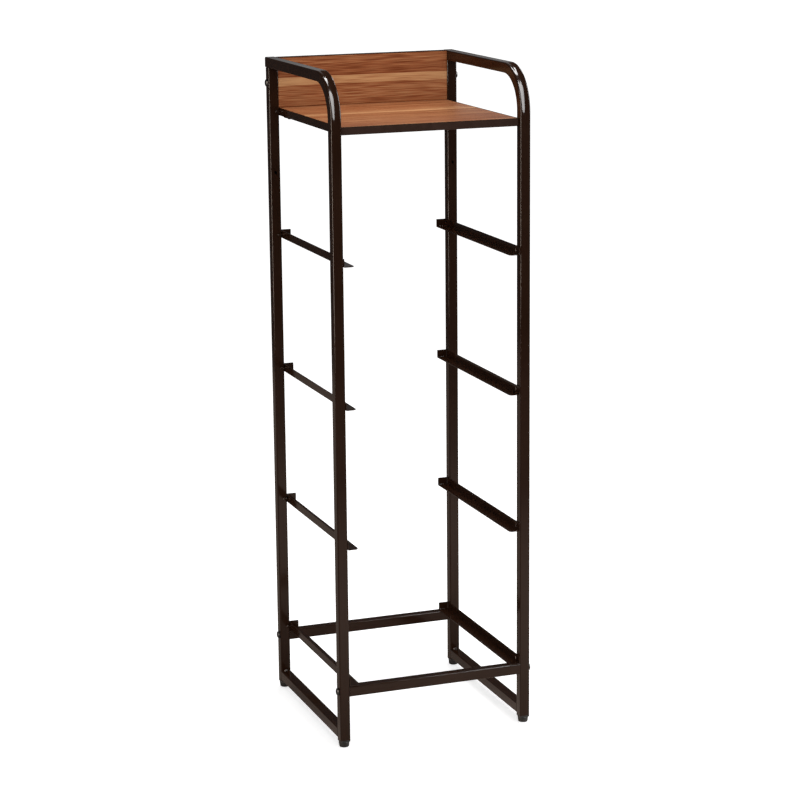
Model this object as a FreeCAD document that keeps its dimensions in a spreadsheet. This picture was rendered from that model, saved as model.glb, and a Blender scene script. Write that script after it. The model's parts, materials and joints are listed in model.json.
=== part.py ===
import FreeCAD, Part
import math
import os

import Sketcher
from FreeCAD import Rotation, Vector

# Open storage tower: two welded side frames of square tube, joined by crossbars, a shelf and a back panel.
# Millimetres. +Z is up, the front faces -Y, and the origin is on the floor under the middle of the tower.

SIZES = (
    ("frame_width", 342.0, "across the outer faces of the side frames"),
    ("frame_depth", 342.0, "from the front faces of the front tubes to the back faces of the rear uprights"),
    ("frame_height", 1120.0, "floor to the top of the arms"),
    ("tube_side", 17.5, "outside of the square tube"),
    ("tube_wall", 1.2, "wall of the square tube"),
    ("tube_corner", 2.0, "outside corner radius of the square tube"),
    ("bend_radius", 66.0, "centre line radius of the bend between front leg and arm"),
    ("crossbar_height", 88.0, "floor to the undersides of the crossbars"),
    ("sheet_metal", 1.5, "thickness of the sheet in runners and shelf supports"),
    ("fold_radius", 2.0, "outside radius of the folds along the runners"),
    ("runner_height", 106.0, "floor to the underside of the lowest runner"),
    ("runner_pitch", 235.0, "height from one runner to the next"),
    ("runner_rise", 14.0, "height of a runner's upright flange and of its rear stop"),
    ("runner_reach", 19.0, "width of a runner's flat flange"),
    ("runner_nose", 6.0, "radius of the inner front corner of a runner"),
    ("runner_tail", 8.0, "from the back of the frame to the rear end of a runner"),
    ("stop_corner", 1.0, "radius of the free top corner of a runner's stop"),
    ("shelf_height", 1035.0, "floor to the top of the shelf"),
    ("shelf_setback", 7.0, "shelf front edge behind the front faces of the front tubes"),
    ("shelf_gap", 0.5, "side gap between the shelf board and its supports"),
    ("shelf_tail", 1.0, "shelf rear edge ahead of the back of the frame"),
    ("lug_length", 10.0, "length of the lugs that a shelf support has under the shelf"),
    ("lug_reach", 18.0, "width of the lugs, from the outside of the bar"),
    ("lug_fold", 1.4, "outside radius of the folds between bar and lugs"),
    ("screw_inset", 30.0, "shelf screws from the faces of the uprights"),
    ("board_thickness", 13.0, "thickness of the shelf board and of the back panel"),
    ("edge_band", 1.0, "thickness of the glued edge bands"),
    ("panel_bolt_height", 1077.0, "floor to the bolts of the back panel"),
    ("wall_hole_height", 925.0, "floor to the wall fixing holes in the rear uprights"),
    ("wall_hole", 5.0, "diameter of the wall fixing holes"),
    ("bolt_shank", 6.0, "diameter of the frame bolts and of the foot studs"),
    ("bolt_length", 30.0, "length of a frame bolt under its head"),
    ("bolt_head", 13.0, "diameter of a frame bolt's button head"),
    ("bolt_rise", 3.3, "height of a frame bolt's button head"),
    ("bolt_dome", 2.6, "edge radius of a frame bolt's button head"),
    ("socket_width", 4.0, "hexagon socket across its flats"),
    ("socket_depth", 2.0, "depth of the hexagon socket"),
    ("bolt_hole", 6.6, "diameter of the bolt holes through the uprights"),
    ("thread_bore", 6.1, "diameter of the bores that stand for the threads"),
    ("plug_fit", 0.1, "play of a plug in a tube, over both sides"),
    ("plug_length", 14.0, "length of the plugs inside the tubes"),
    ("bore_spare", 2.0, "depth of a bore past the end of its fastener"),
    ("insert_width", 9.0, "diameter of the threaded inserts in the back panel"),
    ("insert_length", 13.0, "length of the threaded inserts in the back panel"),
    ("screw_shank", 3.9, "diameter of a shelf screw"),
    ("screw_pilot", 4.0, "diameter of the pilot holes and of the holes in the lugs"),
    ("screw_head", 8.0, "diameter of a shelf screw's pan head"),
    ("screw_rise", 2.4, "height of a shelf screw's pan head"),
    ("screw_length", 11.0, "length of a shelf screw under its head"),
    ("screw_dome", 1.6, "edge radius of a shelf screw's pan head"),
    ("cap_flange", 3.0, "thickness of the arm end caps behind the arms"),
    ("cap_edge", 0.8, "edge radius of the arm end caps"),
    ("foot_height", 12.0, "floor to the lower ends of the uprights"),
    ("rail_lift", 1.5, "from the lower ends of the uprights to the undersides of the bottom rails"),
    ("foot_flange", 2.5, "thickness of the foot inserts under the uprights"),
    ("foot_gap", 0.4, "play between a foot insert and the glide under it"),
    ("glide_top", 18.5, "diameter of a foot glide at its top"),
    ("glide_base", 16.5, "diameter of a foot glide at the floor"),
    ("glide_edge", 1.2, "edge radius of a foot glide at the floor"),
    ("stud_head", 9.0, "diameter of the stud head held inside the glide"),
    ("stud_seat", 1.6, "floor to the underside of the stud head"),
    ("stud_head_rise", 2.0, "height of the stud head"),
    ("stud_top", 24.0, "floor to the upper end of a stud"),
    ("stud_chamfer", 0.75, "chamfer at the upper end of a stud"),
    ("stud_play", 0.05, "play between the stud and the glide around it"),
    ("weld_leg", 3.0, "leg of a weld bead"),
    ("weld_length", 9.0, "length of a weld bead"),
)

# Places that several pieces share, as expressions on the sheet
OUTER_X = "(Sizes.frame_width / 2)"
INNER_X = "(Sizes.frame_width / 2 - Sizes.tube_side)"
TUBE_X = "((Sizes.frame_width - Sizes.tube_side) / 2)"
FRONT_Y = "(-(Sizes.frame_depth + Sizes.cap_flange) / 2)"
REAR_Y = "((Sizes.frame_depth - Sizes.cap_flange) / 2)"
MIDDLE_Y = "(-Sizes.cap_flange / 2)"
FRONT_TUBE_Y = f"({FRONT_Y} + Sizes.tube_side / 2)"
REAR_TUBE_Y = f"({REAR_Y} - Sizes.tube_side / 2)"
FRONT_GAP_Y = f"({FRONT_Y} + Sizes.tube_side)"
REAR_GAP_Y = f"({REAR_Y} - Sizes.tube_side)"
CROSSBAR_Z = "(Sizes.crossbar_height + Sizes.tube_side / 2)"
ARM_Z = "(Sizes.frame_height - Sizes.tube_side / 2)"
RAIL_Z = "(Sizes.foot_height + Sizes.rail_lift + Sizes.tube_side / 2)"
RAIL_TOP_Z = f"({RAIL_Z} + Sizes.tube_side / 2)"
SHELF_BOTTOM_Z = "(Sizes.shelf_height - Sizes.board_thickness)"
LUG_Z = f"({SHELF_BOTTOM_Z} - Sizes.sheet_metal)"
BOARD_X = f"({INNER_X} - Sizes.sheet_metal - Sizes.shelf_gap)"
SHELF_FRONT_Y = f"({FRONT_Y} + Sizes.shelf_setback)"
SHELF_REAR_Y = f"({REAR_Y} - Sizes.shelf_tail)"
SCREW_X = f"({INNER_X} - Sizes.lug_reach / 2)"
PLUG_SIDE = "(Sizes.tube_side - 2 * Sizes.tube_wall - Sizes.plug_fit)"
PLUG_CORNER = "(Sizes.tube_corner - Sizes.tube_wall)"

LEVELS = 4
CORNERS = {
    "front_left": ("-" + TUBE_X, FRONT_TUBE_Y),
    "front_right": (TUBE_X, FRONT_TUBE_Y),
    "rear_left": ("-" + TUBE_X, REAR_TUBE_Y),
    "rear_right": (TUBE_X, REAR_TUBE_Y),
}
SAME = 1e-4

doc = FreeCAD.newDocument("storage_tower")
sheet = doc.addObject("Spreadsheet::Sheet", "Sizes")
for row, (alias, value, note) in enumerate(SIZES, start=1):
    sheet.set(f"A{row}", str(value))
    sheet.setAlias(f"A{row}", alias)
    sheet.set(f"B{row}", note)
doc.recompute()

nodes = []


def value_of(expression):
    """The number that an expression on the sheet gives."""
    return float(sheet.evalExpression(expression))


def same(one, other):
    """Whether two measures agree."""
    return abs(one - other) < SAME


def keep(thing, label):
    """Names a finished piece and adds it to the nodes."""
    thing.Label = label
    nodes.append(thing)
    return thing


def bind(thing, **expressions):
    """Binds an object's properties to expressions on the sheet."""
    for name, expression in expressions.items():
        thing.setExpression(name, expression)


def place(thing, x="0", y="0", z="0", turn=Rotation()):
    """Puts an object at a place given by expressions on the sheet."""
    thing.Placement = FreeCAD.Placement(Vector(), turn)
    for axis, expression in zip("xyz", (x, y, z)):
        thing.setExpression(f"Placement.Base.{axis}", expression)


def new_body(name):
    """An empty body."""
    return doc.addObject("PartDesign::Body", name)


def new_sketch(body, role, offset="0"):
    """A sketch on one of the body's own origin planes, moved along the plane's normal."""
    plane = next(item for item in body.Origin.OriginFeatures if item.Role == role)
    sketch = body.newObject("Sketcher::SketchObject", "outline")
    sketch.AttachmentSupport = [(plane, "")]
    sketch.MapMode = "FlatFace"
    sketch.setExpression("AttachmentOffset.Base.z", offset)
    return sketch


def hold(sketch, kind, *args):
    """Adds a constraint; a number and an expression at the end make it a bound size."""
    if isinstance(args[-1], str):
        expression = args[-1]
        index = sketch.addConstraint(Sketcher.Constraint(kind, *args[:-1], value_of(expression)))
        sketch.setExpression(f"Constraints[{index}]", expression)
    else:
        sketch.addConstraint(Sketcher.Constraint(kind, *args))


def straight_outline(sketch, corners):
    """Draws a closed run of straight lines through corners given as pairs of expressions."""
    points = [Vector(value_of(across), value_of(along), 0) for across, along in corners]
    first = sketch.GeometryCount
    for start, end in zip(points, points[1:] + points[:1]):
        sketch.addGeometry(Part.LineSegment(start, end))
    for index, (across, along) in enumerate(corners):
        following = (index + 1) % len(corners)
        hold(sketch, "Coincident", first + index, 2, first + following, 1)
        hold(sketch, "DistanceX", -1, 1, first + index, 1, across)
        hold(sketch, "DistanceY", -1, 1, first + index, 1, along)


def rectangle(sketch, low, high):
    """Draws a rectangle between two corners given as pairs of expressions."""
    straight_outline(sketch, (low, (high[0], low[1]), high, (low[0], high[1])))


def circle(sketch, across, along, diameter):
    """Draws a circle whose centre and diameter are expressions."""
    centre = Vector(value_of(across), value_of(along), 0)
    index = sketch.addGeometry(Part.Circle(centre, Vector(0, 0, 1), value_of(diameter) / 2))
    hold(sketch, "DistanceX", -1, 1, index, 3, across)
    hold(sketch, "DistanceY", -1, 1, index, 3, along)
    hold(sketch, "Diameter", index, diameter)


def rounded_square(sketch, side, corner):
    """Draws a square with rounded corners around the sketch's origin."""
    half = value_of(side) / 2
    radius = value_of(corner)
    flat = half - radius
    first = sketch.GeometryCount
    for turn in range(4):
        spin = Rotation(Vector(0, 0, 1), 90 * turn)
        start = spin.multVec(Vector(half, -flat, 0))
        end = spin.multVec(Vector(half, flat, 0))
        round_off = Part.Circle(spin.multVec(Vector(flat, flat, 0)), Vector(0, 0, 1), radius)
        sketch.addGeometry(Part.LineSegment(start, end))
        sketch.addGeometry(Part.ArcOfCircle(round_off, turn * math.pi / 2, (turn + 1) * math.pi / 2))
    lines = [first + 2 * turn for turn in range(4)]
    arcs = [first + 2 * turn + 1 for turn in range(4)]
    for turn in range(4):
        hold(sketch, "Tangent", lines[turn], 2, arcs[turn], 1)
        hold(sketch, "Tangent", arcs[turn], 2, lines[(turn + 1) % 4], 1)
        hold(sketch, "Horizontal" if turn % 2 else "Vertical", lines[turn])
    for turn in range(1, 4):
        hold(sketch, "Equal", arcs[0], arcs[turn])
    hold(sketch, "Symmetric", arcs[0], 3, arcs[2], 3, -1, 1)
    hold(sketch, "DistanceX", lines[2], 1, lines[0], 1, side)
    hold(sketch, "DistanceY", lines[3], 1, lines[1], 1, side)
    hold(sketch, "Radius", arcs[0], corner)


def tube_section(sketch):
    """Draws the section of the square tube: its outside and its bore."""
    rounded_square(sketch, "Sizes.tube_side", "Sizes.tube_corner")
    rounded_square(sketch, "Sizes.tube_side - 2 * Sizes.tube_wall", "Sizes.tube_corner - Sizes.tube_wall")


def pad(body, sketch, length, side="One side", backwards=False):
    """Pads a sketch."""
    feature = body.newObject("PartDesign::Pad", "pad")
    feature.Profile = sketch
    feature.SideType = side
    feature.Reversed = backwards
    bind(feature, Length=length)
    return feature


def drill(body, role, across, along, diameter):
    """Drills a hole right through a body, square to one of its origin planes."""
    doc.recompute()
    before = body.Shape.Volume
    sketch = new_sketch(body, role)
    circle(sketch, across, along, diameter)
    hole = body.newObject("PartDesign::Pocket", "hole")
    hole.Profile = sketch
    hole.SideType = "Symmetric"
    hole.Type = "ThroughAll"
    doc.recompute()
    if body.Shape.Volume >= before:
        raise RuntimeError(f"{body.Label}: a hole cut nothing")


def round_edges(body, radius, chosen):
    """Rounds the edges of the body's last feature that a test on their middle point chooses."""
    doc.recompute()
    last = body.Tip
    names = []
    for index, edge in enumerate(last.Shape.Edges, start=1):
        middle = edge.valueAt((edge.FirstParameter + edge.LastParameter) / 2)
        if chosen(edge, middle):
            names.append(f"Edge{index}")
    if not names:
        raise RuntimeError(f"{body.Label}: no edge to round")
    fillet = body.newObject("PartDesign::Fillet", "round")
    fillet.Base = (last, names)
    bind(fillet, Radius=radius)


def turned(name, corners):
    """A body turned about its own Z axis from an outline of radius and height pairs."""
    body = new_body(name)
    sketch = new_sketch(body, "XZ_Plane")
    straight_outline(sketch, corners)
    feature = body.newObject("PartDesign::Revolution", "turning")
    feature.Profile = sketch
    feature.ReferenceAxis = (sketch, ["V_Axis"])
    feature.Angle = 360
    return body


def rim(radius, height):
    """A test that chooses the circular edge at a radius and a height, both expressions."""
    wide = value_of(radius)
    high = value_of(height)
    return lambda edge, middle: same(math.hypot(middle.x, middle.y), wide) and same(middle.z, high)


def mirrored(source, label):
    """The right hand twin of a left hand piece."""
    twin = doc.addObject("Part::Mirroring", label)
    twin.Source = source
    twin.Normal = Vector(1, 0, 0)
    twin.Base = Vector(0, 0, 0)
    return keep(twin, label)


def group(blank, label, stations):
    """A node of separate solids: copies of one blank at stations of x, y, z and a turn."""
    copies = []
    for x, y, z, turn in stations:
        copy = doc.addObject("App::Link", f"{label}_copy")
        copy.LinkedObject = blank
        place(copy, x, y, z, turn)
        copies.append(copy)
    bundle = doc.addObject("Part::Compound", label)
    bundle.Links = copies
    return keep(bundle, label)


def front_tube():
    """Front leg and arm in one length of tube, bent back at the top."""
    body = new_body("front_tube")
    section = new_sketch(body, "XY_Plane", "Sizes.foot_height")
    tube_section(section)
    section.setExpression("AttachmentOffset.Base.y", FRONT_TUBE_Y)
    path = new_sketch(body, "YZ_Plane")
    reach = value_of("Sizes.bend_radius")
    foot = Vector(value_of(FRONT_TUBE_Y), value_of("Sizes.foot_height"), 0)
    arm_end = Vector(value_of(REAR_Y), value_of(ARM_Z), 0)
    bend_start = Vector(foot.x, arm_end.y - reach, 0)
    bend_end = Vector(foot.x + reach, arm_end.y, 0)
    bend = Part.Circle(Vector(bend_end.x, bend_start.y, 0), Vector(0, 0, 1), reach)
    leg = path.addGeometry(Part.LineSegment(foot, bend_start))
    curve = path.addGeometry(Part.ArcOfCircle(bend, math.pi / 2, math.pi))
    arm = path.addGeometry(Part.LineSegment(bend_end, arm_end))
    hold(path, "Tangent", leg, 2, curve, 2)
    hold(path, "Tangent", curve, 1, arm, 1)
    hold(path, "Vertical", leg)
    hold(path, "Horizontal", arm)
    hold(path, "DistanceX", -1, 1, leg, 1, FRONT_TUBE_Y)
    hold(path, "DistanceY", -1, 1, leg, 1, "Sizes.foot_height")
    hold(path, "DistanceX", -1, 1, arm, 2, REAR_Y)
    hold(path, "DistanceY", -1, 1, arm, 2, ARM_Z)
    hold(path, "Radius", curve, "Sizes.bend_radius")
    sweep = body.newObject("PartDesign::AdditivePipe", "bent_tube")
    sweep.Profile = section
    sweep.Spine = (path, ["Edge1", "Edge2", "Edge3"])
    drill(body, "YZ_Plane", FRONT_TUBE_Y, CROSSBAR_Z, "Sizes.bolt_hole")
    place(body, "-" + TUBE_X)
    return keep(body, "front_tube_left")


def rear_upright():
    """Rear upright, with its bolt holes and its wall fixing hole."""
    body = new_body("rear_upright")
    section = new_sketch(body, "XY_Plane", "Sizes.foot_height")
    tube_section(section)
    pad(body, section, "Sizes.frame_height - Sizes.tube_side - Sizes.foot_height")
    drill(body, "YZ_Plane", "0", CROSSBAR_Z, "Sizes.bolt_hole")
    drill(body, "YZ_Plane", "0", "Sizes.panel_bolt_height", "Sizes.bolt_hole")
    drill(body, "XZ_Plane", "0", "Sizes.wall_hole_height", "Sizes.wall_hole")
    place(body, "-" + TUBE_X, REAR_TUBE_Y)
    return keep(body, "rear_upright_left")


def straight_tube(label, role, length):
    """A straight length of tube across one of the origin planes."""
    body = new_body(label)
    section = new_sketch(body, role)
    tube_section(section)
    pad(body, section, length, side="Symmetric")
    return keep(body, label)


def angle_section(sketch, reach, rise):
    """Draws the L section of a runner or lug: flat flange inwards, upright flange at the outside."""
    wall = "Sizes.sheet_metal"
    flat_flange = (("0", "0"), (reach, "0"), (reach, wall))
    upright_flange = ((wall, wall), (wall, rise), ("0", rise))
    straight_outline(sketch, flat_flange + upright_flange)


def along_fold(edge, middle):
    """Chooses the outer edge of the fold that runs along a folded angle."""
    return same(middle.x, 0) and same(middle.z, 0) and edge.Length > value_of("Sizes.runner_reach")


def runner(level):
    """One angle runner with its rear stop; levels count from the floor up."""
    body = new_body(f"runner_{level}")
    length = "(Sizes.frame_depth - Sizes.runner_tail)"
    section = new_sketch(body, "XZ_Plane")
    angle_section(section, "Sizes.runner_reach", "Sizes.runner_rise")
    pad(body, section, length, backwards=True)
    stop = new_sketch(body, "XZ_Plane", f"Sizes.sheet_metal - {length}")
    rectangle(stop, ("Sizes.sheet_metal", "Sizes.sheet_metal"), ("Sizes.runner_reach", "Sizes.runner_rise"))
    pad(body, stop, "Sizes.sheet_metal", backwards=True)
    tail = value_of(length)
    reach = value_of("Sizes.runner_reach")
    rise = value_of("Sizes.runner_rise")
    round_edges(body, "Sizes.fold_radius", along_fold)
    round_edges(
        body,
        "Sizes.runner_nose",
        lambda edge, middle: same(middle.x, reach) and same(middle.y, 0) and 0 < middle.z < rise / 2,
    )
    round_edges(
        body,
        "Sizes.stop_corner",
        lambda edge, middle: same(middle.x, reach) and same(middle.z, rise) and middle.y > tail / 2,
    )
    place(body, "-" + INNER_X, FRONT_Y, f"Sizes.runner_height + {level - 1} * Sizes.runner_pitch")
    return keep(body, f"runner_left_{level}")


def shelf_support():
    """Flat bar that covers one end of the shelf, with two bored lugs folded in under the shelf."""
    body = new_body("shelf_support")
    top = "(Sizes.board_thickness + Sizes.sheet_metal)"
    bar = new_sketch(body, "XZ_Plane")
    rectangle(bar, ("0", "Sizes.sheet_metal"), ("Sizes.sheet_metal", top))
    pad(body, bar, "Sizes.frame_depth - Sizes.shelf_setback - Sizes.runner_tail", backwards=True)
    first = "(Sizes.tube_side - Sizes.shelf_setback + Sizes.screw_inset)"
    second = "(Sizes.frame_depth - Sizes.tube_side - Sizes.shelf_setback - Sizes.screw_inset)"
    for along in (first, second):
        lug = new_sketch(body, "XZ_Plane", f"Sizes.lug_length / 2 - {along}")
        angle_section(lug, "Sizes.lug_reach", top)
        pad(body, lug, "Sizes.lug_length", backwards=True)
    round_edges(body, "Sizes.lug_fold", lambda edge, middle: same(middle.x, 0) and same(middle.z, 0))
    for along in (first, second):
        drill(body, "XY_Plane", "Sizes.lug_reach / 2", along, "Sizes.screw_pilot")
    place(body, "-" + INNER_X, SHELF_FRONT_Y, LUG_Z)
    return keep(body, "shelf_support_left")


def screw_stations():
    """Where the shelf screws go in, on the undersides of the lugs."""
    front = f"{FRONT_GAP_Y} + Sizes.screw_inset"
    rear = f"{REAR_GAP_Y} - Sizes.screw_inset"
    return [(x, y, LUG_Z, Rotation()) for x in ("-" + SCREW_X, SCREW_X) for y in (front, rear)]


def shelf_board():
    """Shelf board with the pilot holes of its screws."""
    body = new_body("shelf_board")
    face = new_sketch(body, "XY_Plane", SHELF_BOTTOM_Z)
    front = f"{SHELF_FRONT_Y} + Sizes.edge_band"
    rear = f"{SHELF_REAR_Y} - Sizes.edge_band"
    rectangle(face, ("-" + BOARD_X, front), (BOARD_X, rear))
    pad(body, face, "Sizes.board_thickness")
    doc.recompute()
    before = body.Shape.Volume
    pilots = new_sketch(body, "XY_Plane", SHELF_BOTTOM_Z)
    for x, y, _, _ in screw_stations():
        circle(pilots, x, y, "Sizes.screw_pilot")
    pocket = body.newObject("PartDesign::Pocket", "pilot_holes")
    pocket.Profile = pilots
    pocket.Reversed = True
    bind(pocket, Length="Sizes.screw_length - Sizes.sheet_metal + Sizes.bore_spare")
    doc.recompute()
    if body.Shape.Volume >= before:
        raise RuntimeError("shelf_board: the pilot holes cut nothing")
    return keep(body, "shelf_board")


def slab(name, x, y, z, length, width, height):
    """A plain rectangular piece."""
    box = doc.addObject("Part::Box", name)
    bind(box, Length=length, Width=width, Height=height)
    place(box, x, y, z)
    return box


def shelf_bands():
    """Edge bands glued to the front and rear edges of the shelf board."""
    bands = [
        slab(
            "shelf_band",
            "-" + BOARD_X,
            y,
            SHELF_BOTTOM_Z,
            f"2 * {BOARD_X}",
            "Sizes.edge_band",
            "Sizes.board_thickness",
        )
        for y in (SHELF_FRONT_Y, f"{SHELF_REAR_Y} - Sizes.edge_band")
    ]
    bundle = doc.addObject("Part::Compound", "shelf_edge_bands")
    bundle.Links = bands
    return keep(bundle, "shelf_edge_bands")


def back_panel():
    """Back panel standing on the shelf between the rear uprights, bored at both ends for its inserts."""
    body = new_body("back_panel")
    face = new_sketch(body, "XZ_Plane")
    rectangle(face, ("-" + INNER_X, "Sizes.shelf_height"), (INNER_X, "Sizes.frame_height - Sizes.edge_band"))
    pad(body, face, "Sizes.board_thickness", side="Symmetric")
    for end, backwards in (("-" + INNER_X, True), (INNER_X, False)):
        doc.recompute()
        before = body.Shape.Volume
        sketch = new_sketch(body, "YZ_Plane", end)
        circle(sketch, "0", "Sizes.panel_bolt_height", "Sizes.insert_width")
        bore = body.newObject("PartDesign::Pocket", "insert_bore")
        bore.Profile = sketch
        bore.Reversed = backwards
        bind(bore, Length="Sizes.bolt_length - Sizes.tube_side + Sizes.bore_spare")
        doc.recompute()
        if body.Shape.Volume >= before:
            raise RuntimeError("back_panel: an insert bore cut nothing")
    place(body, "0", REAR_TUBE_Y)
    return keep(body, "back_panel")


def square_plug(name, role, flange, flange_backwards, bore=None):
    """A plug for a tube end: a flange as wide as the tube and a plug inside it, bored where asked."""
    body = new_body(name)
    for side, corner, length, backwards in (
        ("Sizes.tube_side", "Sizes.tube_corner", flange, flange_backwards),
        (PLUG_SIDE, PLUG_CORNER, "Sizes.plug_length", not flange_backwards),
    ):
        sketch = new_sketch(body, role)
        rounded_square(sketch, side, corner)
        if bore:
            circle(sketch, "0", "0", bore)
        pad(body, sketch, length, backwards=backwards)
    return body


def arm_end_cap():
    """Cap in the rear end of an arm."""
    body = square_plug("arm_end_cap", "XZ_Plane", "Sizes.cap_flange", True)
    doc.recompute()
    rear = value_of("Sizes.cap_flange")
    round_edges(body, "Sizes.cap_edge", lambda edge, middle: same(middle.y, rear))
    place(body, "-" + TUBE_X, REAR_Y, ARM_Z)
    return keep(body, "arm_end_cap_left")


def crossbar_plug():
    """Blank of the threaded plugs inside the crossbar ends; its outer end is at its own origin."""
    body = new_body("crossbar_plug_blank")
    sketch = new_sketch(body, "XY_Plane")
    rounded_square(sketch, PLUG_SIDE, PLUG_CORNER)
    circle(sketch, "0", "0", "Sizes.thread_bore")
    pad(body, sketch, "Sizes.plug_length")
    return body


def frame_bolt():
    """Blank of the button head bolts; the underside of the head is at its own origin."""
    body = turned(
        "frame_bolt_blank",
        (
            ("0", "-Sizes.bolt_rise"),
            ("Sizes.bolt_head / 2", "-Sizes.bolt_rise"),
            ("Sizes.bolt_head / 2", "0"),
            ("Sizes.bolt_shank / 2", "0"),
            ("Sizes.bolt_shank / 2", "Sizes.bolt_length"),
            ("0", "Sizes.bolt_length"),
        ),
    )
    round_edges(body, "Sizes.bolt_dome", rim("Sizes.bolt_head / 2", "-Sizes.bolt_rise"))
    doc.recompute()
    before = body.Shape.Volume
    sketch = new_sketch(body, "XY_Plane", "-Sizes.bolt_rise")
    corner = "Sizes.socket_width / sqrt(3)"
    angles = [f"{turn} deg" for turn in range(0, 360, 60)]
    straight_outline(sketch, [(f"{corner} * cos({angle})", f"{corner} * sin({angle})") for angle in angles])
    socket = body.newObject("PartDesign::Pocket", "socket")
    socket.Profile = sketch
    socket.Reversed = True
    bind(socket, Length="Sizes.socket_depth")
    doc.recompute()
    if body.Shape.Volume >= before:
        raise RuntimeError("frame_bolt: the socket cut nothing")
    return body


def panel_insert():
    """Blank of the threaded inserts; the outer end is at its own origin."""
    return turned(
        "panel_insert_blank",
        (
            ("Sizes.thread_bore / 2", "0"),
            ("Sizes.insert_width / 2", "0"),
            ("Sizes.insert_width / 2", "Sizes.insert_length"),
            ("Sizes.thread_bore / 2", "Sizes.insert_length"),
        ),
    )


def shelf_screw():
    """Blank of the pan head screws; the upper side of the head is at its own origin."""
    body = turned(
        "shelf_screw_blank",
        (
            ("0", "-Sizes.screw_rise"),
            ("Sizes.screw_head / 2", "-Sizes.screw_rise"),
            ("Sizes.screw_head / 2", "0"),
            ("Sizes.screw_shank / 2", "0"),
            ("Sizes.screw_shank / 2", "Sizes.screw_length"),
            ("0", "Sizes.screw_length"),
        ),
    )
    round_edges(body, "Sizes.screw_dome", rim("Sizes.screw_head / 2", "-Sizes.screw_rise"))
    return body


def levelling_foot(corner, x, y):
    """Foot insert, stud and glide under one upright."""
    insert = square_plug("foot_insert", "XY_Plane", "Sizes.foot_flange", True, "Sizes.thread_bore")
    place(insert, x, y, "Sizes.foot_height")
    keep(insert, f"foot_insert_{corner}")
    head_top = "(Sizes.stud_seat + Sizes.stud_head_rise)"
    stud = turned(
        "foot_stud",
        (
            ("0", "Sizes.stud_seat"),
            ("Sizes.stud_head / 2", "Sizes.stud_seat"),
            ("Sizes.stud_head / 2", head_top),
            ("Sizes.bolt_shank / 2", head_top),
            ("Sizes.bolt_shank / 2", "Sizes.stud_top - Sizes.stud_chamfer"),
            ("Sizes.bolt_shank / 2 - Sizes.stud_chamfer", "Sizes.stud_top"),
            ("0", "Sizes.stud_top"),
        ),
    )
    place(stud, x, y)
    keep(stud, f"foot_stud_{corner}")
    glide_height = "(Sizes.foot_height - Sizes.foot_flange - Sizes.foot_gap)"
    room = "(Sizes.stud_head / 2 + Sizes.stud_play)"
    neck = "(Sizes.bolt_shank / 2 + Sizes.stud_play)"
    glide = turned(
        "foot_glide",
        (
            ("0", "0"),
            ("Sizes.glide_base / 2", "0"),
            ("Sizes.glide_top / 2", glide_height),
            (neck, glide_height),
            (neck, f"{head_top} + Sizes.stud_play"),
            (room, f"{head_top} + Sizes.stud_play"),
            (room, "Sizes.stud_seat - Sizes.stud_play"),
            ("0", "Sizes.stud_seat - Sizes.stud_play"),
        ),
    )
    round_edges(glide, "Sizes.glide_edge", rim("Sizes.glide_base / 2", "0"))
    round_edges(glide, "Sizes.glide_edge / 2", rim("Sizes.glide_top / 2", glide_height))
    place(glide, x, y)
    keep(glide, f"foot_glide_{corner}")


def bead(x, y, z, turn):
    """A weld bead: a quarter round in the corner of two faces."""
    quarter = doc.addObject("Part::Cylinder", "bead")
    quarter.Angle = 90
    bind(quarter, Radius="Sizes.weld_leg", Height="Sizes.weld_length")
    place(quarter, x, y, z, turn)
    return quarter


def weld_beads():
    """The weld beads of the left side frame."""
    upright = [
        f"Sizes.runner_height + {level} * Sizes.runner_pitch + (Sizes.runner_rise - Sizes.weld_length) / 2"
        for level in range(LEVELS)
    ]
    upright.append(f"{SHELF_BOTTOM_Z} + (Sizes.board_thickness - Sizes.weld_length) / 2")
    half_turn = Rotation(Vector(0, 0, 1), 180)
    left_turn = Rotation(Vector(0, 0, 1), 90)
    right_turn = Rotation(Vector(0, 0, 1), -90)
    lying = Rotation(Vector(0, 1, 0), 90)
    beads = []
    for z in upright:
        beads.append(bead("-" + INNER_X, REAR_GAP_Y, z, half_turn))
        beads.append(bead("-" + INNER_X, FRONT_GAP_Y, z, left_turn))
    across = f"-{TUBE_X} - Sizes.weld_length / 2"
    beads.append(bead(across, REAR_GAP_Y, RAIL_TOP_Z, lying * half_turn))
    beads.append(bead(across, FRONT_GAP_Y, RAIL_TOP_Z, lying * left_turn))
    beads.append(bead(across, REAR_GAP_Y, "Sizes.frame_height - Sizes.tube_side", lying * right_turn))
    bundle = doc.addObject("Part::Compound", "weld_beads_left")
    bundle.Links = beads
    return keep(bundle, "weld_beads_left")


# Side frames
bottom_rail = straight_tube("bottom_rail_left", "XZ_Plane", "Sizes.frame_depth - 2 * Sizes.tube_side")
place(bottom_rail, "-" + TUBE_X, MIDDLE_Y, RAIL_Z)
left_pieces = [front_tube(), rear_upright(), bottom_rail]
left_pieces += [runner(level) for level in range(1, LEVELS + 1)]
left_pieces += [shelf_support(), arm_end_cap(), weld_beads()]
doc.recompute()
for piece in left_pieces:
    mirrored(piece, piece.Label.replace("left", "right"))

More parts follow.
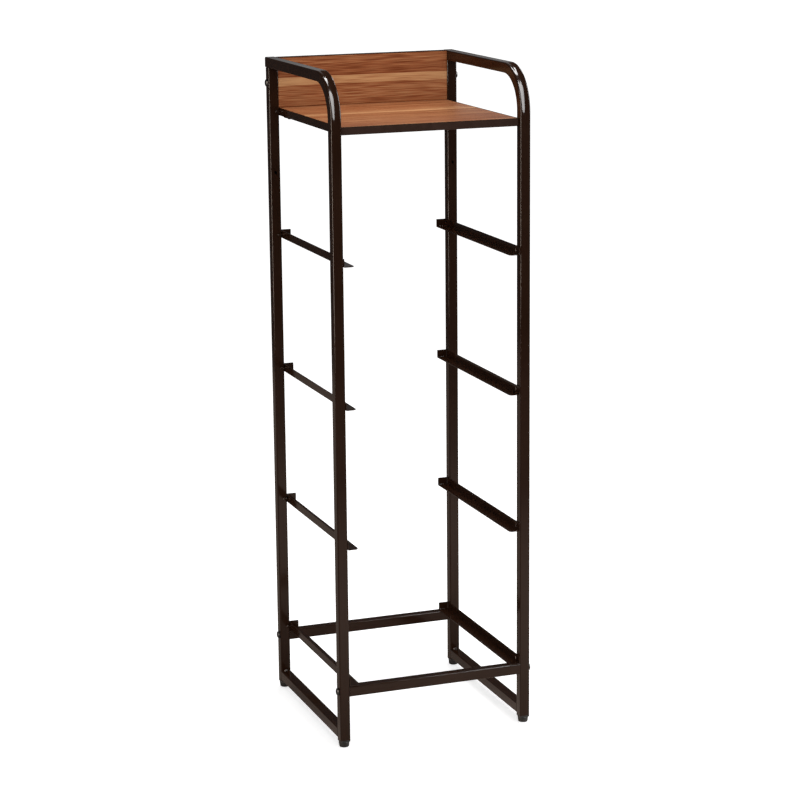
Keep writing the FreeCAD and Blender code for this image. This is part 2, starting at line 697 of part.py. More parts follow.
# Crossbars, with their plugs and bolts
for end, tube_y in (("front", FRONT_TUBE_Y), ("rear", REAR_TUBE_Y)):
    crossbar = straight_tube(f"{end}_crossbar", "YZ_Plane", "Sizes.frame_width - 2 * Sizes.tube_side")
    place(crossbar, "0", tube_y, CROSSBAR_Z)
to_right = Rotation(Vector(0, 1, 0), 90)
to_left = Rotation(Vector(0, 1, 0), -90)
sides = (("-", to_right), ("", to_left))
ends = [(y, sign, turn) for y in (FRONT_TUBE_Y, REAR_TUBE_Y) for sign, turn in sides]
bolt_blank = frame_bolt()
group(crossbar_plug(), "crossbar_plugs", [(sign + INNER_X, y, CROSSBAR_Z, turn) for y, sign, turn in ends])
group(bolt_blank, "crossbar_bolts", [(sign + OUTER_X, y, CROSSBAR_Z, turn) for y, sign, turn in ends])

# Shelf and back panel, with their fastenings
shelf_board()
shelf_bands()
group(shelf_screw(), "shelf_screws", screw_stations())
back_panel()
panel_band = slab(
    "panel_top_band",
    "-" + INNER_X,
    f"{REAR_TUBE_Y} - Sizes.board_thickness / 2",
    "Sizes.frame_height - Sizes.edge_band",
    f"2 * {INNER_X}",
    "Sizes.board_thickness",
    "Sizes.edge_band",
)
keep(panel_band, "panel_top_band")
rear_ends = [end for end in ends if end[0] == REAR_TUBE_Y]
panel_z = "Sizes.panel_bolt_height"
group(panel_insert(), "panel_inserts", [(sign + INNER_X, y, panel_z, turn) for y, sign, turn in rear_ends])
group(bolt_blank, "panel_bolts", [(sign + OUTER_X, y, panel_z, turn) for y, sign, turn in rear_ends])

# Levelling feet
for corner, (x, y) in CORNERS.items():
    levelling_foot(corner, x, y)

doc.recompute()

faults = [item.Name for item in doc.Objects if "Invalid" in item.State or "Error" in item.State]
for node in nodes:
    if node.Shape.isNull() or not node.Shape.isValid() or not node.Shape.Solids:
        faults.append(node.Label)
if faults:
    raise RuntimeError("failed: " + ", ".join(faults))

os.makedirs("parts", exist_ok=True)
for node in nodes:
    node.Shape.exportStep(f"parts/{node.Label}.step")
    print(f"{node.Label}: {len(node.Shape.Solids)} solids, {node.Shape.Volume / 1000:.2f} cm3")
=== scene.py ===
import json
import logging
import math
from dataclasses import dataclass, field
from enum import Enum
from functools import cache
from typing import Iterable, Iterator, Sequence

import bmesh
import bpy
from bmesh.types import BMEdge, BMesh, BMFace, BMVert
from bpy.types import Collection, Material, Node, NodeSocket, NodeTree, Object, Scene
from mathutils import Matrix, Vector

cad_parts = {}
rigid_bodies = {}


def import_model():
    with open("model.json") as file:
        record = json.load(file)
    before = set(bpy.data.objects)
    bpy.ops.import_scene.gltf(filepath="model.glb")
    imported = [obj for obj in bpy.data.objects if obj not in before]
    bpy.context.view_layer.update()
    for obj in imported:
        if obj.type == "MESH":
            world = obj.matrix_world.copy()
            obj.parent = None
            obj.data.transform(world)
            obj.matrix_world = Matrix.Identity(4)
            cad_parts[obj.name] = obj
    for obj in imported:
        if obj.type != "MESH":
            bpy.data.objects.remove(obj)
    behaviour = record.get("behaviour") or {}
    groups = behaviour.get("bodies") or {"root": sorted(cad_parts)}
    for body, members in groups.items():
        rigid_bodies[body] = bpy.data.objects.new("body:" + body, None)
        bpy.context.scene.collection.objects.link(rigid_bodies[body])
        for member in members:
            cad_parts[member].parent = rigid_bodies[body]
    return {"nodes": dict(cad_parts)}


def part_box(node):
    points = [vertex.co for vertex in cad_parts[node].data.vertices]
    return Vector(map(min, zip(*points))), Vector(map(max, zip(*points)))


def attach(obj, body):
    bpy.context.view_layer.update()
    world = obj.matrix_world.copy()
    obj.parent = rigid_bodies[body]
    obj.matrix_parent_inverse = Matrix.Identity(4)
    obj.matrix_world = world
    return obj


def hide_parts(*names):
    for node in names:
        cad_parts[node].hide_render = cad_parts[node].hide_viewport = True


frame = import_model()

log = logging.getLogger("storage_tower")

MM = 0.001
FRAME_BODY = "frame"
RIGHT_ANGLE = math.pi / 2
SAME_SPOT = 1e-6
ALONG_X = Vector((1.0, 0.0, 0.0))
ALONG_Y = Vector((0.0, 1.0, 0.0))
ALONG_Z = Vector((0.0, 0.0, 1.0))
Triple = tuple[float, float, float]
Colour = tuple[float, float, float, float]
Profile = Sequence[tuple[float, float]]
ORIGIN: Triple = (0.0, 0.0, 0.0)
WHITE: Triple = (1.0, 1.0, 1.0)
OPAQUE_BLACK: Colour = (0.0, 0.0, 0.0, 1.0)
OPAQUE_WHITE: Colour = (1.0, 1.0, 1.0, 1.0)
# Sockets of a Mix node that mixes vectors.
MIX_A, MIX_B, MIX_RESULT = 4, 5, 1


class Side(Enum):
    """The two side frames, with the sign of their X."""

    LEFT = -1
    RIGHT = 1

    @property
    def word(self) -> str:
        """The side's name as the nodes spell it."""
        return self.name.lower()


class Corner(Enum):
    """The four levelling feet."""

    FRONT_LEFT = "front_left"
    FRONT_RIGHT = "front_right"
    REAR_LEFT = "rear_left"
    REAR_RIGHT = "rear_right"


class Axis(Enum):
    """The level axes that straight tubes run along, as their numbers."""

    ACROSS = 0
    DEPTH = 1


class Across(Enum):
    """The axis across the grain of a board: its number, and the turn that brings it onto Y."""

    DEPTH = (1, 0.0)
    HEIGHT = (2, -RIGHT_ANGLE)


class Rounds(Enum):
    """What is rounded, as a bevel is told."""

    CORNERS = "VERTICES"
    EDGES = "EDGES"


class Shows(Enum):
    """Where a softbox shows in gloss."""

    NOWHERE = "nowhere"
    IN_METAL = "in metal"
    EVERYWHERE = "everywhere"


class NodeWriter:
    """Adds nodes and links to one node tree."""

    def __init__(self, tree: NodeTree) -> None:
        """Keeps the tree that the nodes go into."""
        self.tree = tree

    def add(self, kind: str, inputs: dict | None = None, **settings: object) -> Node:
        """Adds a node and fills its inputs.

        Args:
            kind: the node's type name.
            inputs: what its inputs get, as fill takes it.
            settings: the node's own properties.

        Returns:
            The new node.
        """
        node = self.tree.nodes.new(kind)
        for name, value in settings.items():
            setattr(node, name, value)
        self.fill(node, inputs or {})
        return node

    def fill(self, node: Node, inputs: dict) -> None:
        """Fills inputs of a node.

        Args:
            node: the node.
            inputs: socket name or number to a value, or to the output that is linked to it.
        """
        for name, value in inputs.items():
            if isinstance(value, NodeSocket):
                self.tree.links.new(value, node.inputs[name])
            else:
                node.inputs[name].default_value = value

    def calc(self, operation: str, *values: object) -> NodeSocket:
        """What a Math node makes of numbers and outputs."""
        return self.add("ShaderNodeMath", dict(enumerate(values)), operation=operation).outputs[0]

    def scaled(self, vector: object, factor: object) -> NodeSocket:
        """A colour or vector times a number."""
        node = self.add("ShaderNodeVectorMath", {0: vector, "Scale": factor}, operation="SCALE")
        return node.outputs["Vector"]

    def spread(
        self, value: object, low: float, high: float, start: float = 0.0, end: float = 1.0
    ) -> NodeSocket:
        """A value between start and end, spread over low to high."""
        inputs = {"Value": value, "From Min": start, "From Max": end, "To Min": low, "To Max": high}
        return self.add("ShaderNodeMapRange", inputs).outputs["Result"]

    def noise(self, vector: object, scale: object, detail: float) -> NodeSocket:
        """Noise with so many lumps to the metre and so many octaves of finer ones."""
        inputs = {"Vector": vector, "Scale": scale, "Detail": detail}
        return self.add("ShaderNodeTexNoise", inputs).outputs["Fac"]

    def mapped(
        self, vector: object, scale: Triple = (1.0, 1.0, 1.0), turn: Triple = (0.0, 0.0, 0.0)
    ) -> NodeSocket:
        """Coordinates stretched along X, Y and Z, then turned about them."""
        node = self.add("ShaderNodeMapping", {"Vector": vector, "Rotation": turn, "Scale": scale})
        return node.outputs["Vector"]

    def bump(self, height: NodeSocket, depth: float) -> NodeSocket:
        """The normal of a relief from 0 to 1 that is so many metres deep."""
        inputs = {"Height": height, "Distance": depth, "Strength": 1.0}
        return self.add("ShaderNodeBump", inputs).outputs["Normal"]

    def ramp(self, value: object, stops: Sequence[tuple[float, Colour]]) -> NodeSocket:
        """Adds a colour ramp.

        Args:
            value: the output that picks the colour.
            stops: pairs of place and colour, in order.

        Returns:
            The picked colour.
        """
        node = self.add("ShaderNodeValToRGB", {"Fac": value})
        elements = node.color_ramp.elements
        while len(elements) < len(stops):
            elements.new(0.5)
        for element, (place, colour) in zip(elements, stops):
            element.position = place
            element.color = colour
        return node.outputs["Color"]


def new_group(name: str, inputs: dict[str, str], outputs: dict[str, str]) -> tuple[NodeWriter, dict, Node]:
    """Starts a shader node group.

    Args:
        name: the group's name.
        inputs: socket name to socket type.
        outputs: socket name to socket type.

    Returns:
        The writer, the group's inputs by name, and the node that takes its outputs.
    """
    tree = bpy.data.node_groups.new(name, "ShaderNodeTree")
    for label, kind in inputs.items():
        tree.interface.new_socket(label, in_out="INPUT", socket_type=kind)
    for label, kind in outputs.items():
        tree.interface.new_socket(label, in_out="OUTPUT", socket_type=kind)
    writer = NodeWriter(tree)
    given = writer.add("NodeGroupInput").outputs
    return writer, {label: given[label] for label in inputs}, writer.add("NodeGroupOutput")


def new_material(name: str) -> tuple[NodeWriter, Node, Material]:
    """Starts a material.

    Args:
        name: its name.

    Returns:
        Its node writer, its Principled BSDF and the material.
    """
    made = bpy.data.materials.new(name)
    made.use_nodes = True
    return NodeWriter(made.node_tree), made.node_tree.nodes["Principled BSDF"], made


@dataclass(frozen=True)
class Streaks:
    """Streaks along the grain: how many to the metre across it, and what share of that along it."""

    across: float
    along: float
    detail: float

    def draw(self, writer: NodeWriter, vector: NodeSocket) -> NodeSocket:
        """Draws the streaks along X."""
        return writer.noise(writer.mapped(vector, (self.along, 1.0, 1.0)), self.across, self.detail)


@dataclass(frozen=True)
class Waver:
    """A slow swing of the grain's lines to either side."""

    swing: float
    scale: float
    across: float
    detail: float

    def shift(self, writer: NodeWriter, vector: NodeSocket, place: NodeSocket) -> NodeSocket:
        """Shifts a place across the grain by the swing."""
        drift = writer.noise(writer.mapped(vector, (1.0, self.across, 1.0)), self.scale, self.detail)
        return writer.calc("ADD", place, writer.spread(drift, -self.swing, self.swing))


CLOUD_RANGE = (-0.6, 1.6)
CLOUD_DETAIL = 4.0
PEEL_DETAIL = 1.0
LINE_RANGE = (-1.0, 2.0)
FIGURE = Streaks(across=95.0, along=0.03, detail=3.0)
LINES = Streaks(across=1250.0, along=0.017, detail=0.0)
PORES = Streaks(across=1500.0, along=0.06, detail=1.0)
LINE_WAVER = Waver(swing=1.5 * MM, scale=9.0, across=0.3, detail=1.0)
STRIP_WAVER = Waver(swing=2.0 * MM, scale=5.0, across=0.2, detail=0.0)


@cache
def mottle_group() -> NodeTree:
    """The uneven surface that coatings, mouldings and plated pieces share.

    Returns:
        A group with the outputs Cloud, for colour and gloss, and Height, for relief.
    """
    inputs = {"Vector": "NodeSocketVector", "Cloud Scale": "NodeSocketFloat", "Peel Scale": "NodeSocketFloat"}
    outputs = {"Cloud": "NodeSocketFloat", "Height": "NodeSocketFloat"}
    writer, given, result = new_group("surface_mottle", inputs, outputs)
    cloud = writer.noise(given["Vector"], given["Cloud Scale"], CLOUD_DETAIL)
    peel = writer.noise(given["Vector"], given["Peel Scale"], PEEL_DETAIL)
    writer.fill(result, {"Cloud": writer.spread(cloud, *CLOUD_RANGE), "Height": peel})
    return writer.tree


@cache
def grain_group() -> NodeTree:
    """Printed wood grain that runs along X, with Y across it.

    Returns:
        A group with the outputs Figure, for broad streaks, Line, for fine lines, and Height, for pores.
    """
    outputs = {"Figure": "NodeSocketFloat", "Line": "NodeSocketFloat", "Height": "NodeSocketFloat"}
    writer, given, result = new_group("wood_grain", {"Vector": "NodeSocketVector"}, outputs)
    place = writer.add("ShaderNodeSeparateXYZ", {"Vector": given["Vector"]}).outputs
    bent = LINE_WAVER.shift(writer, given["Vector"], place["Y"])
    along = writer.add("ShaderNodeCombineXYZ", {"X": place["X"], "Y": bent, "Z": place["Z"]}).outputs[0]
    lines = writer.spread(LINES.draw(writer, along), *LINE_RANGE)
    pores = PORES.draw(writer, along)
    writer.fill(result, {"Figure": FIGURE.draw(writer, along), "Line": lines, "Height": pores})
    return writer.tree


@dataclass(frozen=True)
class Finish:
    """A finish: its name, and the record's slot that it belongs to."""

    name: str
    slot: str

    @cache
    def material(self) -> Material:
        """Makes the finish into a material, once.

        Returns:
            The material.
        """
        writer, shader, made = new_material(self.name)
        spots = writer.add("ShaderNodeTexCoord").outputs["Object"]
        writer.fill(shader, self.draw(writer, spots))
        return made

    def draw(self, writer: NodeWriter, spots: NodeSocket) -> dict:
        """Draws the finish in a material.

        Args:
            writer: the material's node writer.
            spots: the object's coordinates.

        Returns:
            What the inputs of its Principled BSDF get.
        """
        raise NotImplementedError


@dataclass(frozen=True)
class Mottled(Finish):
    """A finish of one colour with an uneven surface: coating, moulding or plating."""

    dark: Colour
    light: Colour
    gloss: tuple[float, float]
    cloud_scale: float
    peel_scale: float
    peel_depth: float
    specular: float = 0.5
    metallic: float = 0.0

    def draw(self, writer: NodeWriter, spots: NodeSocket) -> dict:
        """Draws the mottled colour, the gloss and the relief.

        Args:
            writer: the material's node writer.
            spots: the object's coordinates.

        Returns:
            What the inputs of its Principled BSDF get.
        """
        inputs = {"Vector": spots, "Cloud Scale": self.cloud_scale, "Peel Scale": self.peel_scale}
        mottle = writer.add("ShaderNodeGroup", inputs, node_tree=mottle_group()).outputs
        return {
            "Base Color": writer.ramp(mottle["Cloud"], ((0.0, self.dark), (1.0, self.light))),
            "Roughness": writer.spread(mottle["Cloud"], *self.gloss),
            "Specular IOR Level": self.specular,
            "Metallic": self.metallic,
            "Normal": writer.bump(mottle["Height"], self.peel_depth),
        }


@dataclass(frozen=True)
class Laminate(Finish):
    """Printed wood laminate on a board: strips of different tone across it, with the grain along X, and a
    band of painted light along the edge where the strips start.
    """

    board: str
    across: Across
    strips: tuple[tuple[float, float], ...]
    # rim is painted light along the edge where the strips start: a painted highlight when positive, painted
    # shade when negative.
    rim: float
    painted_edge_width: float = 2.0 * MM
    figure: float = 0.15
    line: float = 0.30
    specular: float = 0.10
    gloss: tuple[float, float] = (0.42, 0.34)
    pore_depth: float = 0.02 * MM
    dark: Colour = (0.205, 0.054, 0.017, 1.0)
    middle: Colour = (0.410, 0.140, 0.054, 1.0)
    middle_tone: float = 0.45
    light: Colour = (0.693, 0.382, 0.177, 1.0)

    def draw(self, writer: NodeWriter, spots: NodeSocket) -> dict:
        """Draws the strips, the band of painted light along their starting edge, and the grain in them.

        Args:
            writer: the material's node writer.
            spots: the object's coordinates.

        Returns:
            What the inputs of its Principled BSDF get.
        """
        axis, turn = self.across.value
        start, end = (corner[axis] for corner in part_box(self.board))
        laid = writer.mapped(spots, turn=(turn, 0.0, 0.0))
        grain = writer.add("ShaderNodeGroup", {"Vector": laid}, node_tree=grain_group()).outputs
        place = writer.add("ShaderNodeSeparateXYZ", {"Vector": laid}).outputs["Y"]
        # The band of painted light along the starting edge: rim is added to the tone there, lighter for a
        # painted highlight, darker for painted shade.
        rim = writer.spread(place, self.rim, 0.0, start, start + self.painted_edge_width)
        share = writer.spread(STRIP_WAVER.shift(writer, laid, place), 0.0, 1.0, start, end)
        strip = writer.ramp(share, [(at, (tone, tone, tone, 1.0)) for at, tone in self.strips])
        tone = writer.calc("ADD", strip, rim)
        for output, swing in (("Figure", self.figure), ("Line", self.line)):
            tone = writer.calc("ADD", tone, writer.spread(grain[output], -swing, swing))
        stops = ((0.0, self.dark), (self.middle_tone, self.middle), (1.0, self.light))
        return {
            "Base Color": writer.ramp(tone, stops),
            "Roughness": writer.spread(grain["Line"], *self.gloss),
            "Specular IOR Level": self.specular,
            "Normal": writer.bump(grain["Height"], self.pore_depth),
        }


COAT = Mottled(
    "brown_powder_coat", "brown_coat",
    dark=(0.0170, 0.0064, 0.0031, 1.0), light=(0.0230, 0.0092, 0.0047, 1.0), gloss=(0.10, 0.15),
    cloud_scale=14.0, peel_scale=420.0, peel_depth=0.001 * MM, specular=0.20,
)
BAND = Mottled(
    "dark_edge_band", "edge_band",
    dark=(0.032, 0.0165, 0.0118, 1.0), light=(0.045, 0.0240, 0.0176, 1.0), gloss=(0.38, 0.50),
    cloud_scale=60.0, peel_scale=1400.0, peel_depth=0.01 * MM, specular=0.07,
)
PLASTIC = Mottled(
    "black_moulded_plastic", "black_plastic",
    dark=(0.006, 0.006, 0.006, 1.0), light=(0.012, 0.012, 0.012, 1.0), gloss=(0.42, 0.55),
    cloud_scale=150.0, peel_scale=2600.0, peel_depth=0.012 * MM, specular=0.4,
)
BLACK_STEEL = Mottled(
    "black_oxide_steel", "black_steel",
    dark=(0.007, 0.0065, 0.0065, 1.0), light=(0.014, 0.013, 0.013, 1.0), gloss=(0.25, 0.38),
    cloud_scale=300.0, peel_scale=2000.0, peel_depth=0.006 * MM, specular=0.5,
)
ZINC = Mottled(
    "zinc_plated_steel", "zinc_steel",
    dark=(0.46, 0.46, 0.45, 1.0), light=(0.66, 0.66, 0.64, 1.0), gloss=(0.28, 0.42),
    cloud_scale=220.0, peel_scale=3000.0, peel_depth=0.004 * MM, metallic=1.0,
)
SHELF = Laminate(
    # rim is a painted highlight: a light line along the front edge of the shelf's top.
    "shelf_laminate", "wood_board", board="shelf_board", across=Across.DEPTH, rim=0.40, painted_edge_width=4.0 * MM,
    figure=0.60, line=0.28, specular=0.26,
    strips=(
        (0.0, 0.29), (0.18, 0.34), (0.36, 0.40), (0.52, 0.46), (0.54, 0.98), (0.56, 0.88), (0.575, 0.38),
        # The last strips rise in tone towards the rear edge as painted light, which lifts the shade that the
        # back panel casts on the shelf.
        (0.80, 0.37), (1.0, 0.48),
    ),
)
PANEL = Laminate(
    # rim is painted shade: a dark line along the panel's bottom edge, where it meets the shelf.
    "panel_laminate", "wood_board", board="back_panel", across=Across.HEIGHT, rim=-0.90,
    strips=(
        # The strips below the tan band are lighter than those above it partly as painted light, which lifts
        # the shade in the corner over the shelf.
        (0.0, 0.44), (0.07, 0.42), (0.09, 0.26), (0.12, 0.45), (0.42, 0.43), (0.435, 0.91), (0.58, 0.91),
        (0.60, 0.14), (0.64, 0.25), (1.0, 0.31),
    ),
)


def centre_of(node: str) -> Vector:
    """The middle of a node's box."""
    low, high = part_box(node)
    return (low + high) / 2


def only(kind: type, geometry: Iterable) -> list:
    """The vertices, edges or faces among some geometry."""
    return [item for item in geometry if isinstance(item, kind)]


def edges_at(spots: Iterable[BMVert]) -> list[BMEdge]:
    """The edges that meet at any of some vertices."""
    return list(dict.fromkeys(edge for spot in spots for edge in spot.link_edges))


def pulled(shape: BMesh, items: Sequence, step: Vector) -> list:
    """Pulls edges out into faces, or vertices out into edges.

    Args:
        shape: the shape that they are in.
        items: what is pulled.
        step: how far and which way.

    Returns:
        The edges or vertices at the far end.
    """
    kind = type(items[0])
    if kind is BMVert:
        made = bmesh.ops.extrude_vert_indiv(shape, verts=list(items))["verts"]
    else:
        made = bmesh.ops.extrude_edge_only(shape, edges=list(items))["geom"]
    bmesh.ops.translate(shape, verts=only(BMVert, made), vec=step)
    return only(kind, made)


def swung(shape: BMesh, items: Sequence, centre: Vector, axis: Vector, angle: float, steps: int) -> list:
    """Swings edges or vertices about an axis, leaving faces or edges behind.

    Args:
        shape: the shape that they are in.
        items: what is swung.
        centre: a point on the axis.
        axis: the axis.
        angle: how far it swings.
        steps: how many pieces the swing has.

    Returns:
        The edges or vertices at the far end.
    """
    made = bmesh.ops.spin(
        shape, geom=list(items), cent=centre, axis=axis, angle=angle, steps=steps, use_merge=False,
    )
    return only(type(items[0]), made["geom_last"])


def rounded(
    shape: BMesh, items: Sequence, radius: float, steps: int = 6, rounds: Rounds = Rounds.CORNERS
) -> list[BMVert]:
    """Rounds corners or edges.

    Args:
        shape: the shape that they are in.
        items: the corners or edges.
        radius: how much they are rounded.
        steps: how many pieces each round has.
        rounds: whether the items are corners or edges.

    Returns:
        The new vertices.
    """
    made = bmesh.ops.bevel(
        shape, geom=list(items), offset=radius, offset_type="OFFSET", segments=steps, profile=0.5,
        affect=rounds.value, material=-1,
    )
    return made["verts"]


def turned(shape: BMesh, profile: Profile, place: Matrix, sides: int = 32) -> None:
    """Adds a turned form, its axis along its own Z.

    Args:
        shape: the shape that it is added to.
        profile: pairs of radius and height along the outline.
        place: where it goes.
        sides: how many faces it has round it.
    """
    spots = [shape.verts.new(place @ Vector((radius, 0.0, height))) for radius, height in profile]
    edges = [shape.edges.new(pair) for pair in zip(spots, spots[1:])]
    axis = (place.to_3x3() @ ALONG_Z).normalized()
    bmesh.ops.spin(
        shape, geom=spots + edges, cent=place.translation, axis=axis, angle=2 * math.pi, steps=sides,
        use_merge=True,
    )
    bmesh.ops.remove_doubles(shape, verts=shape.verts[:], dist=SAME_SPOT)


def rounded_edge(
    flat: float, height: float, radius: float, steps: int, rise: int = 1
) -> list[tuple[float, float]]:
    """The outline of the rounded edge of a turned form, from its flat end outwards.

    Args:
        flat: the radius of the flat end.
        height: the height of the flat end.
        radius: how much the edge is rounded.
        steps: how many pieces the round has.
        rise: 1 where the edge goes up from the flat end, -1 where it goes down.

    Returns:
        Pairs of radius and height.
    """
    angles = [RIGHT_ANGLE * step / steps for step in range(steps + 1)]
    return [
        (flat + radius * math.sin(angle), height + rise * radius * (1 - math.cos(angle))) for angle in angles
    ]


def rounded_square(shape: BMesh, side: float, corner: float, steps: int = 5) -> BMFace:
    """Adds a square face with rounded corners around the origin, in the XY plane.

    Args:
        shape: the shape that it is added to.
        side: the square's width.
        corner: the radius of its corners.
        steps: how many edges each corner has.

    Returns:
        The face.
    """
    spots = bmesh.ops.create_grid(shape, x_segments=1, y_segments=1, size=side / 2)["verts"]
    faces = {face for spot in rounded(shape, spots, corner, steps) for face in spot.link_faces}
    return max(faces, key=lambda face: face.calc_area())


def block(shape: BMesh, low: Vector, high: Vector, rounding: float, steps: int = 3) -> None:
    """Adds a rectangular block with rounded edges.

    Args:
        shape: the shape that it is added to.
        low: its lowest corner.
        high: its highest corner.
        rounding: the radius of its edges.
        steps: how many faces each round has.
    """
    place = Matrix.Translation((low + high) / 2) @ Matrix.Diagonal((*(high - low), 1.0))
    spots = bmesh.ops.create_cube(shape, size=1.0, matrix=place)["verts"]
    rounded(shape, edges_at(spots), rounding, steps, Rounds.EDGES)


def new_object(name: str, shape: BMesh, material: Material) -> Object:
    """Makes a shape into an object in the scene, and frees the shape.

    Args:
        name: the object's name.
        shape: the shape.
        material: what it is covered with.

    Returns:
        The object.
    """
    mesh = bpy.data.meshes.new(name)
    shape.to_mesh(mesh)
    shape.free()
    mesh.materials.append(material)
    made = bpy.data.objects.new(name, mesh)
    bpy.context.scene.collection.objects.link(made)
    return made


@dataclass
class Piece:
    """A finished piece of the part, which stands for one node."""

    node: str
    form: str
    shape: BMesh
    finish: Finish
    body: str = FRAME_BODY
    wall: float = 0.0
    edge: float = 0.0
    edge_segments: int = 2
    edge_angle: float = math.radians(50)
    faces_down: bool = False

    def hand_over(self) -> None:
        """Makes the object, dresses it, rides it on its body and hides the node."""
        self.close()
        name = f"{self.node}_{self.form}"
        made = new_object(name, self.shape, self.finish.material())
        faces = made.data.polygons
        faces.foreach_set("use_smooth", [True] * len(faces))
        self.add_modifiers(made)
        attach(made, self.body)
        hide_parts(self.node)
        log.info("%s: %d faces for %s", name, len(faces), self.node)

    def close(self) -> None:
        """Merges the shape's seams and turns its faces outwards."""
        shape = self.shape
        bmesh.ops.remove_doubles(shape, verts=shape.verts[:], dist=SAME_SPOT)
        bmesh.ops.recalc_face_normals(shape, faces=shape.faces[:])
        if self.faces_down:
            lowest = min(shape.faces, key=lambda face: face.calc_center_median().z)
            if lowest.normal.z > 0:
                bmesh.ops.reverse_faces(shape, faces=shape.faces[:])

    def add_modifiers(self, made: Object) -> None:
        """Gives the object its wall, its rounded edges and flat shading on its flats.

        Args:
            made: the object.
        """
        if self.wall:
            sheet = made.modifiers.new("wall", "SOLIDIFY")
            sheet.thickness = self.wall
            sheet.offset = -1.0
            sheet.use_even_offset = True
        if self.edge:
            bevel = made.modifiers.new("edge", "BEVEL")
            bevel.width = self.edge
            bevel.segments = self.edge_segments
            bevel.limit_method = "ANGLE"
            bevel.angle_limit = self.edge_angle
            bevel.loop_slide = False
        flats = made.modifiers.new("flats", "WEIGHTED_NORMAL")
        flats.keep_sharp = True


def dress(node: str, finish: Finish) -> None:
    """Gives a node that keeps its own shape a finish.

    Args:
        node: the node.
        finish: the finish.
    """
    mesh = frame["nodes"][node].data
    mesh.materials.clear()
    mesh.materials.append(finish.material())
    log.info("%s: %s", node, finish.name)


@dataclass
class SquareTube:
    """The square tube that the frame is made of."""

    side: float = 17.5 * MM
    wall: float = 1.2 * MM
    corner: float = 2.0 * MM

    def section(self, shape: BMesh, place: Matrix, cuts: int = 0) -> list[BMEdge]:
        """Makes the outline of a tube end in an empty shape.

        Args:
            shape: the empty shape.
            place: where it goes; the tube runs along its Z.
            cuts: how many points the flat on its -Y side gets between its corners.

        Returns:
            The edges of the outline.
        """
        face = rounded_square(shape, self.side, self.corner)
        bmesh.ops.delete(shape, geom=[face], context="FACES_ONLY")
        if cuts:
            front = min(shape.edges, key=lambda edge: sum(spot.co.y for spot in edge.verts))
            bmesh.ops.subdivide_edges(shape, edges=[front], cuts=cuts)
        bmesh.ops.transform(shape, matrix=place, verts=shape.verts[:])
        return shape.edges[:]

    def build_straight(self, node: str, axis: Axis) -> None:
        """Builds a straight tube from end to end of a node's box.

        Args:
            node: the node that it stands for.
            axis: the axis that it runs along.
        """
        low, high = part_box(node)
        start, end = centre_of(node), centre_of(node)
        start[axis.value], end[axis.value] = low[axis.value], high[axis.value]
        turn = (end - start).to_track_quat("Z", "Y").to_matrix().to_4x4()
        shape = bmesh.new()
        pulled(shape, self.section(shape, Matrix.Translation(start) @ turn), end - start)
        self.hand_over(node, "tube", shape)

    def hand_over(self, node: str, form: str, shape: BMesh) -> None:
        """Gives the outside of a tube its wall and hands it over."""
        Piece(node, form, shape, COAT, wall=self.wall).hand_over()

    def plug(self, place: Matrix, flange: float, depth: float) -> BMesh:
        """Builds a plug for the end of the tube: a flange over the end and a block inside the tube.

        Args:
            place: the middle of the tube's end, its Z out of the tube.
            flange: how thick the flange is.
            depth: how far the block reaches into the tube.

        Returns:
            The shape.
        """
        shape = bmesh.new()
        for side, corner, start, end in (
            (self.side, self.corner, 0.0, flange),
            (self.side - 2 * self.wall, self.corner - self.wall, -depth, 0.0),
        ):
            face = rounded_square(shape, side, corner)
            set_back = Matrix.Translation((0.0, 0.0, start))
            bmesh.ops.transform(shape, matrix=place @ set_back, verts=list(face.verts))
            far = only(BMVert, bmesh.ops.extrude_face_region(shape, geom=[face])["geom"])
            bmesh.ops.translate(shape, verts=far, vec=place.to_3x3() @ ALONG_Z * (end - start))
        return shape


@dataclass
class WeldBead:
    """A short weld in the corner of two faces."""

    length: float = 8.5 * MM
    thickness: float = 2.5 * MM
    fullness: int = 4
    ripples: int = 4
    ripple: float = 0.09
    swell: float = 0.12
    swell_pace: float = 1.7
    swell_shift: float = 2.3
    steps: int = 24
    sides: int = 20

    def add(self, shape: BMesh, middle: Vector, along: Vector, turn: float) -> None:
        """Adds a bead.

        Args:
            shape: the shape that it is added to.
            middle: its middle, in the corner.
            along: the direction that it runs in.
            turn: shifts its ripples, so that no two beads are alike.
        """
        profile = []
        for step in range(self.steps + 1):
            share = 2 * step / self.steps - 1
            bulge = math.sqrt(max(0.0, 1 - share ** self.fullness))
            ripple = 1 + self.ripple * math.sin(math.pi * self.ripples * share + turn)
            swell = 1 + self.swell * math.sin(self.swell_pace * share + self.swell_shift * turn)
            profile.append((self.thickness * bulge * ripple * swell, share * self.length / 2))
        place = Matrix.Translation(middle) @ along.to_track_quat("Z", "Y").to_matrix().to_4x4()
        turned(shape, profile, place, self.sides)


@dataclass
class FoldedSheet:
    """A piece folded from sheet, built as its outer skin from the corner of its box, with X inwards."""

    sheet: float = 1.5 * MM
    fold: float = 2.0 * MM
    fold_steps: int = 6
    edge: float = 0.25 * MM

    def fold_in(self, shape: BMesh, items: Sequence) -> list:
        """Folds a lower end inwards, from upright to flat."""
        centre = Vector((self.fold, 0.0, self.fold))
        return swung(shape, items, centre, ALONG_Y, -RIGHT_ANGLE, self.fold_steps)

    def hand_over(self, side: Side, node: str, shape: BMesh) -> None:
        """Moves the skin into the box of its node, gives it the thickness of the sheet and hands it over.

        Args:
            side: which side frame it is on.
            node: the node that it stands for.
            shape: the skin.
        """
        low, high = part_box(node)
        if side is Side.LEFT:
            place = Matrix.Translation(low)
        else:
            place = Matrix.Translation((high.x, low.y, low.z)) @ Matrix.Diagonal((-1.0, 1.0, 1.0, 1.0))
        bmesh.ops.transform(shape, matrix=place, verts=shape.verts[:])
        Piece(node, "folded", shape, COAT, wall=self.sheet, edge=self.edge, faces_down=True).hand_over()


